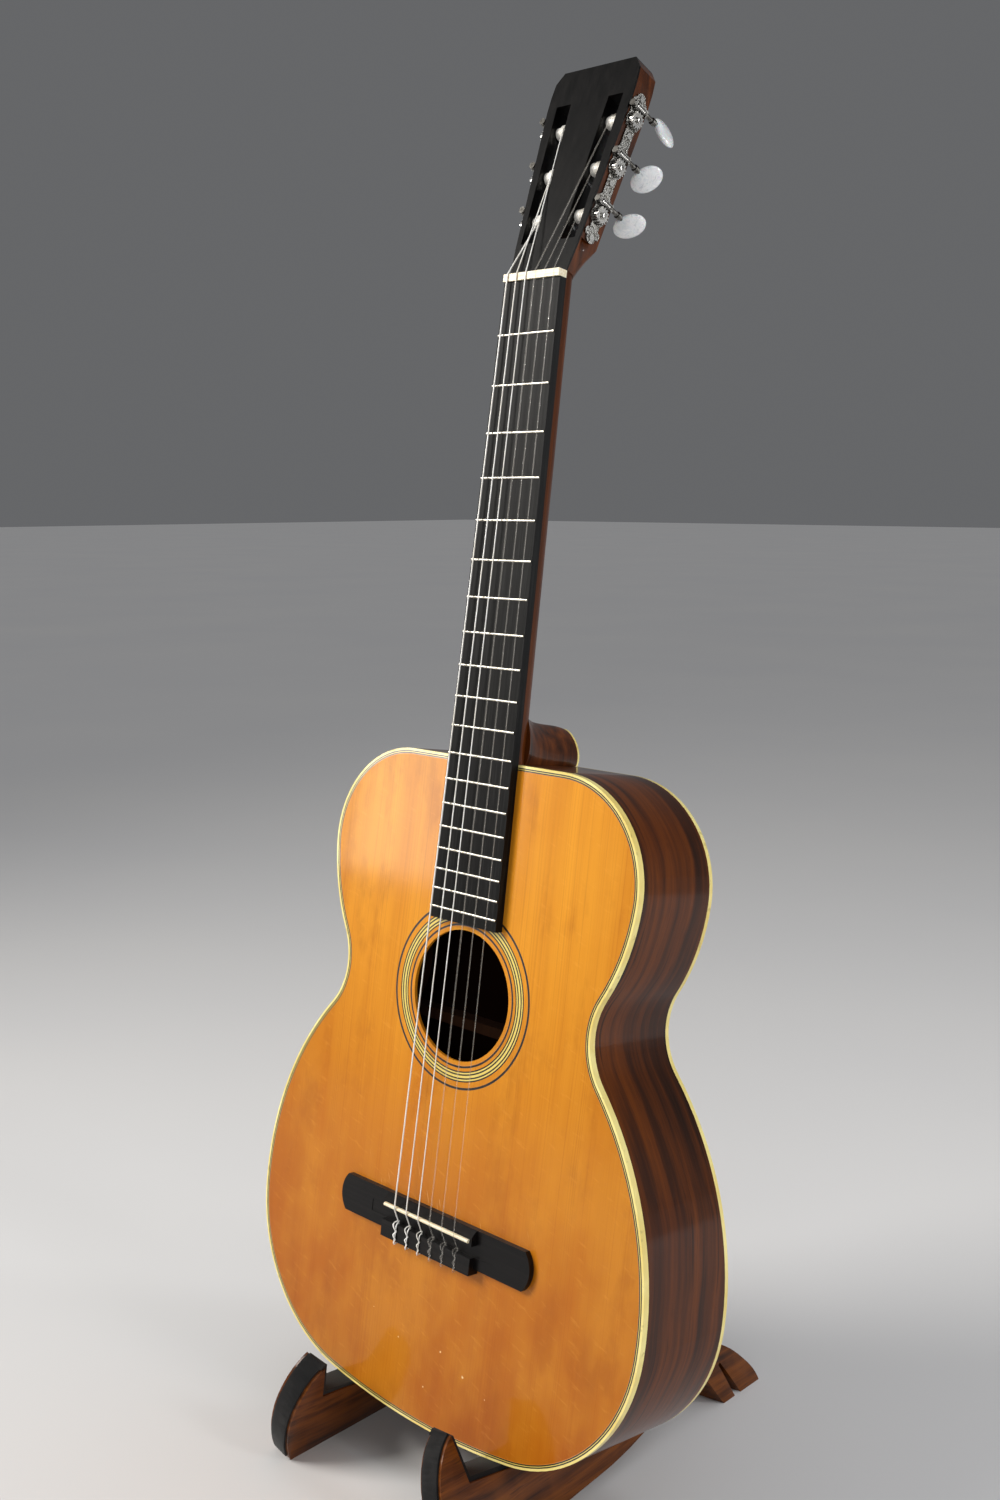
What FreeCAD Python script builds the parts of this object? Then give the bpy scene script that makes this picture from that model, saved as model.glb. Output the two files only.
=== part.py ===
import FreeCAD, Part
import math
import os
import Sketcher
from FreeCAD import Placement, Rotation, Vector

# A classical guitar standing on a folding wooden stand, in millimetres.
# The row frame has the floor at z = 0, the guitar's face towards -Y and its treble side
# towards +X. Guitar pieces are drawn in the guitar's own frame: the origin is on the
# soundboard at the saddle, x runs to the treble side, y into the body, z up the neck.

os.makedirs("parts", exist_ok=True)
doc = FreeCAD.newDocument("guitar_on_stand")
dims = doc.addObject("Spreadsheet::Sheet", "dims")

DRIVING = {
    "guitar_y": -86.34, "guitar_z": 188.2, "lean": 9.07, "string_length": 650.0,
    "top_thickness": 2.5, "back_thickness": 2.5, "side_thickness": 2.2, "deep_end": 100.0,
    "binding_width": 1.6, "binding_height": 5.0, "purfling_width": 2.6, "purfling_depth": 1.0,
    "hole_radius": 45.5, "rosette_depth": 0.8, "board_thickness": 6.5, "head_thickness": 17.5,
    "veneer_thickness": 1.5, "nut_thickness": 5.0, "nut_height": 8.2, "wing_height": 4.5,
    "block_height": 9.2, "saddle_height": 11.4, "cap_thickness": 1.8, "sleeve_radius": 4.7,
    "journal_radius": 2.6, "gear_thickness": 3.0, "worm_radius": 2.2, "key_radius": 1.6,
    "plate_thickness": 1.2, "plank": 20.0, "front_strip": 1.6, "strip_inset": 2.5, "pin_radius": 1.7,
    "pin_length": 44.0,
}
row = 1
for name, value in DRIVING.items():
    dims.set("A%d" % row, name)
    dims.set("B%d" % row, str(value))
    dims.setAlias("B%d" % row, name)
    row += 1
doc.recompute()


def dim(name):
    return DRIVING[name]


# ---------------------------------------------------------------- general helpers

def origin_plane(body, role):
    for feature in body.Origin.OriginFeatures:
        if feature.Role == role:
            return feature
    return None


def new_body(label):
    body = doc.addObject("PartDesign::Body", label + "_body")
    body.Label = label
    return body


def add_sketch(body, name, role, shapes, shift=(0, 0, 0), turn=0.0):
    sketch = body.newObject("Sketcher::SketchObject", name)
    sketch.AttachmentSupport = (origin_plane(body, role), "")
    sketch.MapMode = "FlatFace"
    sketch.AttachmentOffset = Placement(Vector(*shift), Rotation(Vector(1, 0, 0), turn))
    for shape in shapes:
        sketch.addGeometry(shape, False)
    doc.recompute()
    return sketch


def pad(body, name, sketch, length, expression=None, back=False, middle=False):
    feature = body.newObject("PartDesign::Pad", name)
    feature.Profile = sketch
    feature.Length = length
    feature.Reversed = back
    feature.Midplane = middle
    if expression:
        feature.setExpression("Length", expression)
    doc.recompute()
    return feature


def pocket(body, name, sketch, length, expression=None, back=False, middle=False):
    feature = body.newObject("PartDesign::Pocket", name)
    feature.Profile = sketch
    feature.Length = length
    feature.Reversed = back
    feature.Midplane = middle
    before = body.Shape.Volume
    if expression:
        feature.setExpression("Length", expression)
    doc.recompute()
    if abs(body.Shape.Volume - before) < 1e-6:
        raise RuntimeError("pocket removed nothing: " + name)
    return feature


def loop(points):
    lines = []
    for k in range(len(points)):
        a = Vector(points[k][0], points[k][1], 0)
        b = Vector(points[(k + 1) % len(points)][0], points[(k + 1) % len(points)][1], 0)
        lines.append(Part.LineSegment(a, b))
    return lines


def chain(points):
    lines = []
    for a, b in zip(points[:-1], points[1:]):
        lines.append(Part.LineSegment(Vector(a[0], a[1], 0), Vector(b[0], b[1], 0)))
    return lines


def curve(points):
    spline = Part.BSplineCurve()
    spline.interpolate([Vector(x, y, 0) for x, y in points])
    return spline


def disc(x, y, radius):
    return Part.Circle(Vector(x, y, 0), Vector(0, 0, 1), radius)


def rectangle(x0, x1, y0, y1):
    return loop([(x0, y0), (x1, y0), (x1, y1), (x0, y1)])


def on_guitar(thing):
    thing.Placement = Placement(Vector(0, dim("guitar_y"), dim("guitar_z")),
                                Rotation(Vector(-1, 0, 0), dim("lean")))
    thing.setExpression("Placement.Base.y", "dims.guitar_y")
    thing.setExpression("Placement.Base.z", "dims.guitar_z")
    return thing


def guitar_feature(label, shape):
    thing = doc.addObject("Part::Feature", label + "_feature")
    thing.Label = label
    thing.Shape = shape
    return on_guitar(thing)


# ---------------------------------------------------------------- guitar body outline

# Half outline from the tail, as tangent arcs: radius (negative is the waist) and sweep.
TAIL = -145.8
OUTLINE = [(541.0, 9.43), (115.6, 77.55), (219.3, 44.49), (-47.9, -71.47), (148.0, 25.9), (72.6, 94.1)]


def half_outline(inset):
    arcs = []
    heading = 0.0
    x, z = 0.0, TAIL
    for radius, sweep in OUTLINE:
        turn = math.radians(sweep)
        cx = x - radius * math.sin(heading)
        cz = z + radius * math.cos(heading)
        reach = radius - inset
        samples = []
        for part in (0.0, 0.5, 1.0):
            angle = heading + turn * part
            samples.append((cx + reach * math.sin(angle), cz - reach * math.cos(angle)))
        arcs.append(samples)
        heading += turn
        x = cx + radius * math.sin(heading)
        z = cz - radius * math.cos(heading)
    return arcs


def arc(samples, side):
    points = [Vector(side * x, z, 0) for x, z in samples]
    return Part.Arc(points[0], points[1], points[2])


def whole_outline(inset):
    arcs = half_outline(inset)
    end = arcs[-1][2]
    shapes = [arc(samples, 1) for samples in arcs]
    shapes += [arc(samples, -1) for samples in arcs]
    shapes.append(Part.LineSegment(Vector(end[0], end[1], 0), Vector(-end[0], end[1], 0)))
    return shapes


def half_band(outer, inner, side):
    first = half_outline(outer)
    second = half_outline(inner)
    a, b = first[-1][2], second[-1][2]
    shapes = [arc(samples, side) for samples in first] + [arc(samples, side) for samples in second]
    shapes += chain([(side * first[0][0][0], first[0][0][1]), (side * second[0][0][0], second[0][0][1])])
    shapes += chain([(side * a[0], a[1]), (0, a[1]), (0, b[1]), (side * b[0], b[1])])
    return shapes


# The back leans towards the neck: depth falls with height.
DEPTH_AT_SADDLE = 90.5
DEPTH_SLOPE = 0.0455
BODY_TOP = half_outline(0)[-1][2][1]


def back_face(z, inside=0.0):
    return DEPTH_AT_SADDLE - DEPTH_SLOPE * z - inside


def trim_behind(body, name, inside):
    low, high = -170.0, 350.0
    points = [(back_face(low, inside), low), (back_face(high, inside), high), (200, high), (200, low)]
    cut = add_sketch(body, name + "_line", "YZ_Plane", loop(points))
    return pocket(body, name, cut, 600, middle=True)


def trim_before(body, name, inside):
    low, high = -170.0, 350.0
    points = [(back_face(low, inside), low), (back_face(high, inside), high), (-60, high), (-60, low)]
    cut = add_sketch(body, name + "_line", "YZ_Plane", loop(points))
    return pocket(body, name, cut, 600, middle=True)


# ---------------------------------------------------------------- sound box

HOLE_Z = 158.5
ROSETTE_RINGS = [(48.0, 50.0), (52.0, 59.5), (63.0, 65.0)]
binding = dim("binding_width")
purfling_in = binding + dim("purfling_width")
side_t = dim("side_thickness")

soundboard = new_body("soundboard")
top_line = add_sketch(soundboard, "top_line", "XZ_Plane", whole_outline(binding))
pad(soundboard, "top_plate", top_line, 2.5, "dims.top_thickness", back=True)
hole_line = add_sketch(soundboard, "hole_line", "XZ_Plane", [disc(0, HOLE_Z, dim("hole_radius"))])
pocket(soundboard, "sound_hole", hole_line, 10, back=False, middle=True)
ledge_line = add_sketch(soundboard, "ledge_line", "XZ_Plane",
                        whole_outline(binding - 1.0) + whole_outline(purfling_in))
pocket(soundboard, "purfling_ledge", ledge_line, 2.0, "2 * dims.purfling_depth", middle=True)
ring_shapes = []
for inner, outer in ROSETTE_RINGS:
    ring_shapes += [disc(0, HOLE_Z, inner), disc(0, HOLE_Z, outer)]
ring_line = add_sketch(soundboard, "rosette_line", "XZ_Plane", ring_shapes)
pocket(soundboard, "rosette_ledge", ring_line, 1.6, "2 * dims.rosette_depth", middle=True)
on_guitar(soundboard)


def flat_rings(label, rings, depth):
    shapes = []
    for inner, outer in rings:
        ring = Part.makeCylinder(outer, depth, Vector(0, 0, HOLE_Z), Vector(0, 1, 0))
        ring = ring.cut(Part.makeCylinder(inner, depth, Vector(0, 0, HOLE_Z), Vector(0, 1, 0)))
        shapes.append(ring)
    return guitar_feature(label, Part.makeCompound(shapes))


flat_rings("rosette", ROSETTE_RINGS, dim("rosette_depth"))

purfling = new_body("purfling")
purfling_line = add_sketch(purfling, "purfling_line", "XZ_Plane",
                           whole_outline(binding) + whole_outline(purfling_in))
pad(purfling, "purfling_strip", purfling_line, 1.0, "dims.purfling_depth", back=True)
on_guitar(purfling)

binding_front = new_body("binding_front")
front_line = add_sketch(binding_front, "front_line", "XZ_Plane", whole_outline(0) + whole_outline(binding))
pad(binding_front, "front_strip", front_line, 5.0, "dims.binding_height", back=True)
on_guitar(binding_front)

binding_back = new_body("binding_back")
rear_line = add_sketch(binding_back, "rear_line", "XZ_Plane", whole_outline(0) + whole_outline(binding))
pad(binding_back, "rear_strip", rear_line, 110, "dims.deep_end + 10", back=True)
trim_behind(binding_back, "rear_trim", 0)
trim_before(binding_back, "rear_start", dim("back_thickness") + 1.0)
on_guitar(binding_back)

back = new_body("back")
back_line = add_sketch(back, "back_line", "XZ_Plane", whole_outline(binding))
pad(back, "back_blank", back_line, 110, "dims.deep_end + 10", back=True)
trim_behind(back, "back_outside", 0)
trim_before(back, "back_inside", dim("back_thickness"))
on_guitar(back)

for label, side in (("side_treble", 1), ("side_bass", -1)):
    rim = new_body(label)
    rim_line = add_sketch(rim, label + "_line", "XZ_Plane", half_band(0, side_t, side),
                          shift=(0, 0, -dim("top_thickness")))
    pad(rim, label + "_rim", rim_line, 110, "dims.deep_end + 10", back=True)
    trim_behind(rim, label + "_trim", dim("back_thickness"))
    ledge = add_sketch(rim, label + "_ledge_line", "XZ_Plane",
                       half_band(-1.0, binding, side))
    pocket(rim, label + "_front_ledge", ledge, 10, "2 * dims.binding_height", middle=True)
    on_guitar(rim)
    # the back binding's ledge is as tall at the tail as at the neck
    groove_tool = doc.addObject("Part::Feature", label + "_ledge_tool")
    outside = Part.Face(Part.Wire(Part.__sortEdges__([e.toShape() for e in whole_outline(-1.0)])))
    inside = Part.Face(Part.Wire(Part.__sortEdges__([e.toShape() for e in whole_outline(binding)])))
    collar = outside.cut(inside)
    collar.Placement = Placement(Vector(0, 0, 0), Rotation(Vector(1, 0, 0), 90))
    collar = collar.extrude(Vector(0, 130, 0))
    slab = Part.makeBox(500, 60, 700, Vector(-250, 0, -350))
    slope = math.degrees(math.atan(DEPTH_SLOPE))
    slab.Placement = Placement(Vector(0, back_face(0, dim("back_thickness") + 1.0), 0),
                               Rotation(Vector(1, 0, 0), slope)) * slab.Placement
    groove_tool.Shape = collar.common(slab)
    on_guitar(groove_tool)
    rim.Label = label + "_blank"
    finished = doc.addObject("Part::Cut", label + "_cut")
    finished.Base = rim
    finished.Tool = groove_tool
    finished.Label = label
    doc.recompute()

# ---------------------------------------------------------------- inside the sound box

lining_in = side_t + 5.5


def lining_shape(low, high):
    outside = Part.Face(Part.Wire(Part.__sortEdges__([e.toShape() for e in whole_outline(side_t + 0.05)])))
    inside = Part.Face(Part.Wire(Part.__sortEdges__([e.toShape() for e in whole_outline(lining_in)])))
    strip = outside.cut(inside)
    strip.Placement = Placement(Vector(0, 0, 0), Rotation(Vector(1, 0, 0), 90))
    strip = strip.extrude(Vector(0, 130, 0))
    slab = Part.makeBox(500, high - low, 700, Vector(-250, low, -350))
    return strip, slab


top_t = dim("top_thickness")
strip, slab = lining_shape(top_t + 0.05, top_t + 12)
front_lining = strip.common(slab)
strip, slab = lining_shape(-12, -0.05)
slab.Placement = Placement(Vector(0, back_face(0, dim("back_thickness")), 0),
                           Rotation(Vector(1, 0, 0), math.degrees(math.atan(DEPTH_SLOPE)))) * slab.Placement
rear_lining = strip.common(slab)
ends = Part.makeBox(92, 120, 40, Vector(-46, 0, 290)).fuse(Part.makeBox(58, 120, 40, Vector(-29, 0, -160)))
guitar_feature("kerfed_linings", Part.makeCompound([front_lining.cut(ends), rear_lining.cut(ends)]))

for label, half, low, high in (("neck_block", 45, 300.0, BODY_TOP - side_t - 0.1),
                               ("tail_block", 28, TAIL + side_t + 0.9, -126.0)):
    block = new_body(label)
    block_line = add_sketch(block, label + "_line", "XZ_Plane", rectangle(-half, half, low, high),
                            shift=(0, 0, -top_t - 0.05))
    pad(block, label + "_blank", block_line, 110, "dims.deep_end + 10", back=True)
    trim_behind(block, label + "_trim", dim("back_thickness") + 0.05)
    on_guitar(block)


def bar(length, height, width, place, turn_axis, turn):
    shape = Part.makeBox(length, height, width, Vector(-length / 2, 0, -width / 2))
    shape.Placement = Placement(Vector(*place), Rotation(Vector(*turn_axis), turn))
    return shape


FAN = [(-50, -5.0), (-25, -2.5), (0, 0.0), (25, 2.5), (50, 5.0)]
front_bars = [bar(250, 16, 7, (0, top_t + 0.05, 226), (0, 0, 1), 0),
              bar(282, 16, 7, (0, top_t + 0.05, 94), (0, 0, 1), 0)]
for x, lean in FAN:
    front_bars.append(bar(150, 5, 5, (x * 1.1, top_t + 0.05, -10), (0, 1, 0), -90 - lean))
guitar_feature("top_braces", Part.makeCompound(front_bars))

rear_bars = []
for z, length in ((252, 264), (120, 246), (-40, 348)):
    shape = Part.makeBox(length, 14, 8, Vector(-length / 2, -14.05, -4))
    shape.Placement = Placement(Vector(0, back_face(z, dim("back_thickness")), z),
                                Rotation(Vector(1, 0, 0), math.degrees(math.atan(DEPTH_SLOPE))))
    rear_bars.append(shape)
guitar_feature("back_braces", Part.makeCompound(rear_bars))

# ---------------------------------------------------------------- neck and headstock

NUT_Z = dim("string_length")
HEAD_Z = NUT_Z + dim("nut_thickness")
HEAD_LEAN = 14.5
HEAD_LENGTH = 158.0
HALF_AT_NUT = 25.5
HALF_SLOPE = 5.0 / 325.0
BOARD_END = 209.0
lean_sin = math.sin(math.radians(HEAD_LEAN))
lean_cos = math.cos(math.radians(HEAD_LEAN))
head_up = Vector(0, lean_sin, lean_cos)
head_in = Vector(0, lean_cos, -lean_sin)
head_start = Vector(0, 0, HEAD_Z)


def half_width(z):
    return HALF_AT_NUT + (NUT_Z - z) * HALF_SLOPE


# Headstock side, slot and roller positions in the headstock's own plane.
SIDE_AT_START = 26.65
SIDE_SLOPE = 0.0906
SLOT_AT_START = 17.0
SLOT_SLOPE = 0.05
SLOT_HALF = 6.5
SLOT_ENDS = (24.0, 131.0)
ROLLERS = (44.0, 79.0, 114.0)
ROLLER_DEPTH = 7.6


def head_outline(low):
    right = [(25.6, low), (26.2, 4), (SIDE_AT_START + SIDE_SLOPE * 20, 20),
             (SIDE_AT_START + SIDE_SLOPE * 128, 128), (38.4, 140), (37.6, 150), (32.0, HEAD_LENGTH)]
    left = [(-x, z) for x, z in reversed(right)]
    return loop(right + left)


def slot_outline(side):
    points = []
    for end, step in ((SLOT_ENDS[0], -1), (SLOT_ENDS[0], 1), (SLOT_ENDS[1], 1), (SLOT_ENDS[1], -1)):
        points.append((side * (SLOT_AT_START + SLOT_SLOPE * end + step * SLOT_HALF), end))
    return loop(points)


neck = new_body("neck_blank")


def half_round(z, depth, low):
    half = half_width(z) - low
    shoulder = (half * 0.86, depth * 0.62)
    return [(-half, 0.0), (-shoulder[0], shoulder[1]), (0.0, depth), shoulder, (half, 0.0)]


def neck_section(name, z, depth):
    # the section's flat side carries the fingerboard
    points = half_round(z, depth, 0.0)
    shapes = [curve(points)]
    shapes += chain([points[-1], points[0]])
    return add_sketch(neck, name, "XY_Plane", shapes, shift=(0, 0, z))


low_section = neck_section("neck_low", BODY_TOP + 0.05, 17.0)
high_section = neck_section("neck_high", HEAD_Z, 15.5)
shaft = neck.newObject("PartDesign::AdditiveLoft", "neck_shaft")
shaft.Profile = low_section
shaft.Sections = [high_section]
shaft.Ruled = True
doc.recompute()


def heel_section(name, depth, half, nose):
    base = BODY_TOP + 0.05
    points = [(-half, base), (-half * 0.8, base + nose * 0.66), (0, base + nose),
              (half * 0.8, base + nose * 0.66), (half, base)]
    shapes = [curve(points)]
    shapes += chain([points[-1], points[0]])
    return add_sketch(neck, name, "XZ_Plane", shapes, shift=(0, 0, -depth))


HEEL = [("heel_a", 8.0, 29.0, 62.0), ("heel_b", 20.0, 26.0, 40.0), ("heel_c", 40.0, 21.5, 29.0),
        ("heel_d", back_face(BODY_TOP) - 0.05, 17.0, 25.5)]
heel_sketches = [heel_section(*row) for row in HEEL]
heel = neck.newObject("PartDesign::AdditiveLoft", "heel")
heel.Profile = heel_sketches[0]
heel.Sections = heel_sketches[1:]
doc.recompute()

head_shift = (0, HEAD_Z, 0)
head_line = add_sketch(neck, "head_line", "XZ_Plane", head_outline(0), shift=head_shift, turn=-HEAD_LEAN)
pad(neck, "headstock", head_line, 17.5, "dims.head_thickness", back=True)
slots = add_sketch(neck, "slot_lines", "XZ_Plane", slot_outline(1) + slot_outline(-1),
                   shift=head_shift, turn=-HEAD_LEAN)
pocket(neck, "slots", slots, 60, middle=True)
on_guitar(neck)

veneer = new_body("head_veneer")
veneer_line = add_sketch(veneer, "veneer_line", "XZ_Plane",
                         head_outline(0) + slot_outline(1) + slot_outline(-1),
                         shift=head_shift, turn=-HEAD_LEAN)
pad(veneer, "veneer_sheet", veneer_line, 1.5, "dims.veneer_thickness")
on_guitar(veneer)

cap = new_body("heel_cap")
base = BODY_TOP + 0.05
cap_points = [(-17, base), (-17 * 0.8, base + 25.5 * 0.66), (0, base + 25.5), (17 * 0.8, base + 25.5 * 0.66),
              (17, base)]
cap_outline = [curve(cap_points)] + chain([cap_points[-1], cap_points[0]])
cap_line = add_sketch(cap, "cap_line", "XZ_Plane", cap_outline,
                      shift=(0, 0, -back_face(BODY_TOP)))
pad(cap, "cap_plate", cap_line, 1.8, "dims.cap_thickness", back=True)
on_guitar(cap)

fingerboard = new_body("fingerboard")
board_line = add_sketch(fingerboard, "board_line", "XZ_Plane",
                        loop([(-half_width(BOARD_END), BOARD_END), (half_width(BOARD_END), BOARD_END),
                              (HALF_AT_NUT, NUT_Z), (-HALF_AT_NUT, NUT_Z)]))
pad(fingerboard, "board", board_line, 6.5, "dims.board_thickness")
on_guitar(fingerboard)

nut = new_body("nut")
nut_line = add_sketch(nut, "nut_line", "XZ_Plane", rectangle(-25.3, 25.3, NUT_Z, HEAD_Z))
pad(nut, "nut_blank", nut_line, 8.2, "dims.nut_height")
on_guitar(nut)

FRET_COUNT = 19
CROWN_RADIUS = 1.0
board_top = -dim("board_thickness")
fret_bars = []
for number in range(1, FRET_COUNT + 1):
    z = NUT_Z * 2 ** (-number / 12.0)
    half = half_width(z) - 0.6
    crown = Part.makeCylinder(CROWN_RADIUS, 2 * half, Vector(-half, board_top + 0.05, z), Vector(1, 0, 0))
    keep = Part.makeBox(2 * half, 1.0, 3.0, Vector(-half, board_top - 1.0, z - 1.5))
    fret_bars.append(crown.common(keep))
guitar_feature("frets", Part.makeCompound(fret_bars))

# ---------------------------------------------------------------- bridge, saddle, strings

BRIDGE_HALF = 93.5
bridge = new_body("bridge")
left_end = Part.Arc(Vector(-88, 7.2, 0), Vector(-93.5, -6.2, 0), Vector(-88, -19.5, 0))
right_end = Part.Arc(Vector(88, -19.5, 0), Vector(93.5, -6.2, 0), Vector(88, 7.2, 0))
wing_line = add_sketch(bridge, "wing_line", "XZ_Plane",
                       [left_end, right_end] + chain([(-88, 7.2), (88, 7.2)])
                       + chain([(-88, -19.5), (88, -19.5)]))
pad(bridge, "wings", wing_line, 4.5, "dims.wing_height")
block_line = add_sketch(bridge, "block_line", "XZ_Plane", rectangle(-44, 44, -23.5, 7.2))
pad(bridge, "tie_block", block_line, 9.2, "dims.block_height")
channel = add_sketch(bridge, "channel_line", "YZ_Plane",
                     loop([(-4.2, -11.5), (-4.2, -3.4), (-20, -3.4), (-20, -11.5)]))
pocket(bridge, "channel", channel, 120, middle=True)
front_drop = add_sketch(bridge, "drop_line", "YZ_Plane",
                        loop([(-9.3, 3.0), (-4.5, 7.3), (-20, 7.3), (-20, 3.0)]))
pocket(bridge, "front_slope", front_drop, 200, middle=True)
saddle_slot = add_sketch(bridge, "saddle_slot_line", "XZ_Plane", rectangle(-42, 42, -1.3, 1.3),
                         shift=(0, 0, 4.0))
pocket(bridge, "saddle_slot", saddle_slot, 10.0, back=True)

BRIDGE_STRINGS = [-29.5, -17.7, -5.9, 5.9, 17.7, 29.5]
NUT_STRINGS = [-21.0, -12.6, -4.2, 4.2, 12.6, 21.0]
STRING_RADIUS = [0.55, 0.46, 0.40, 0.51, 0.42, 0.36]
TIE_HEIGHT = -6.2
tie_holes = add_sketch(bridge, "tie_lines", "XY_Plane", [disc(x, TIE_HEIGHT, 1.0) for x in BRIDGE_STRINGS],
                       shift=(0, 0, -30))
pocket(bridge, "tie_holes", tie_holes, 20.0, back=True)
on_guitar(bridge)

saddle = new_body("saddle")
saddle_arc = Part.Arc(Vector(-10.1, -1.25, 0), Vector(-11.4, 0, 0), Vector(-10.1, 1.25, 0))
saddle_line = add_sketch(saddle, "saddle_line", "YZ_Plane",
                         [saddle_arc] + chain([(-10.1, 1.25), (-4.0, 1.25), (-4.0, -1.25), (-10.1, -1.25)]))
pad(saddle, "saddle_blank", saddle_line, 83.6, middle=True)
on_guitar(saddle)


def head_point(across, up, depth):
    return head_start + Vector(across, 0, 0) + head_up * up + head_in * depth


def slot_centre(up):
    return SLOT_AT_START + SLOT_SLOPE * up


def rod(a, b, radius):
    return Part.makeCylinder(radius, (b - a).Length, a, b - a)


def string_shape(index):
    radius = STRING_RADIUS[index]
    x = BRIDGE_STRINGS[index]
    side = -1 if index < 3 else 1
    roller = ROLLERS[index] if index < 3 else ROLLERS[5 - index]
    roller_gap = dim("sleeve_radius") + radius + 0.4
    path = [Vector(x, TIE_HEIGHT, -25.5), Vector(x, TIE_HEIGHT, -10.8),
            Vector(x, -dim("saddle_height") - radius - 0.3, 0),
            Vector(NUT_STRINGS[index], -dim("nut_height") - radius - 0.15, HEAD_Z - 0.5),
            head_point(side * (slot_centre(roller) - 1.6), roller - 0.5, ROLLER_DEPTH - roller_gap)]
    shape = rod(path[0], path[1], radius)
    for a, b in zip(path[1:-1], path[2:]):
        shape = shape.fuse([Part.makeSphere(radius, a), rod(a, b, radius)])
    return shape.removeSplitter()


guitar_feature("wound_strings", Part.makeCompound([string_shape(k) for k in (0, 1, 2)]))
guitar_feature("nylon_strings", Part.makeCompound([string_shape(k) for k in (3, 4, 5)]))

# ---------------------------------------------------------------- tuning machines

TILT = math.atan(SIDE_SLOPE)
WORM_RISE = 8.6
LUG_INNER, LUG_OUTER = 5.0, 7.0
GEAR_RADIUS = 6.0
GEAR_TEETH = 14


def guitar_placement():
    return Placement(Vector(0, dim("guitar_y"), dim("guitar_z")), Rotation(Vector(-1, 0, 0), dim("lean")))


def tuner_frame(side, up):
    # x points out of the headstock's side, y up along it; z is towards the face on the
    # treble side and towards the back on the bass side
    out = Vector(side * math.cos(TILT), 0, 0) - head_up * math.sin(TILT)
    along = Vector(side * math.sin(TILT), 0, 0) + head_up * math.cos(TILT)
    spot = head_point(side * (SIDE_AT_START + SIDE_SLOPE * up), up, ROLLER_DEPTH)
    return Placement(spot, Rotation(out, along, out.cross(along), "ZXY"))


def rearward(side):
    return -1 if side > 0 else 1


def slot_edges(up):
    inset = SIDE_AT_START + SIDE_SLOPE * up - slot_centre(up)
    return (inset - SLOT_HALF) * math.cos(TILT), (inset + SLOT_HALF) * math.cos(TILT)


bores = []
for side in (1, -1):
    for up in ROLLERS:
        near, far = slot_edges(up)
        bore = Part.makeCylinder(dim("journal_radius") + 0.08, far + 7.0, Vector(0.5, 0, 0), Vector(-1, 0, 0))
        bore.Placement = tuner_frame(side, up)
        bores.append(bore)
# The headstock's square section is carved down to the neck's half-round over its first
# 25 mm. Each section of the carving: distance up the head, roundness power, depth, growth.
ROOT_SECTIONS = ((-1.0, 2.45, 16.0, 1.0), (5.0, 2.9, 16.3, 1.0), (11.0, 4.0, 16.7, 1.0),
                 (17.0, 7.0, 17.2, 1.01), (24.5, 16.0, 17.5, 1.05))
ROOT_POINTS = 16


def root_wire(up, power, depth, growth):
    half = (25.6 if up < 0 else SIDE_AT_START + SIDE_SLOPE * up) * growth
    points = []
    for step in range(ROOT_POINTS + 1):
        angle = math.pi * step / ROOT_POINTS
        across = math.copysign(abs(math.cos(angle)) ** (2 / power), math.cos(angle))
        down = math.sin(angle) ** (2 / power) if 0 < step < ROOT_POINTS else 0.0
        points.append(head_point(half * across, up, depth * growth * down))
    back_curve = Part.BSplineCurve()
    back_curve.interpolate(points)
    lift = head_in * -3.0
    corners = [points[-1], points[-1] + lift, points[0] + lift, points[0]]
    edges = [back_curve.toShape()]
    for a, b in zip(corners, corners[1:]):
        edges.append(Part.makeLine(a, b))
    return Part.Wire(edges)


root_loft = Part.makeLoft([root_wire(*row) for row in ROOT_SECTIONS], True, False)
carving = Part.makeBox(90, 40, 25.5, Vector(-45, 0.02, -1.0))
carving.Placement = Placement(head_start, Rotation(Vector(1, 0, 0), head_in, head_up, "XZY"))
carving = carving.cut(root_loft)
bore_tool = guitar_feature("roller_bores", bores[0].multiFuse(bores[1:] + [carving]))
neck_cut = doc.addObject("Part::Cut", "neck_cut")
neck_cut.Base = neck
neck_cut.Tool = bore_tool
neck_cut.Label = "neck"
doc.recompute()

def placed(label, shape, local):
    thing = doc.addObject("Part::Feature", label + "_feature")
    thing.Label = label
    thing.Shape = shape
    whole = guitar_placement() * local
    thing.Placement = whole
    return thing


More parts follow.
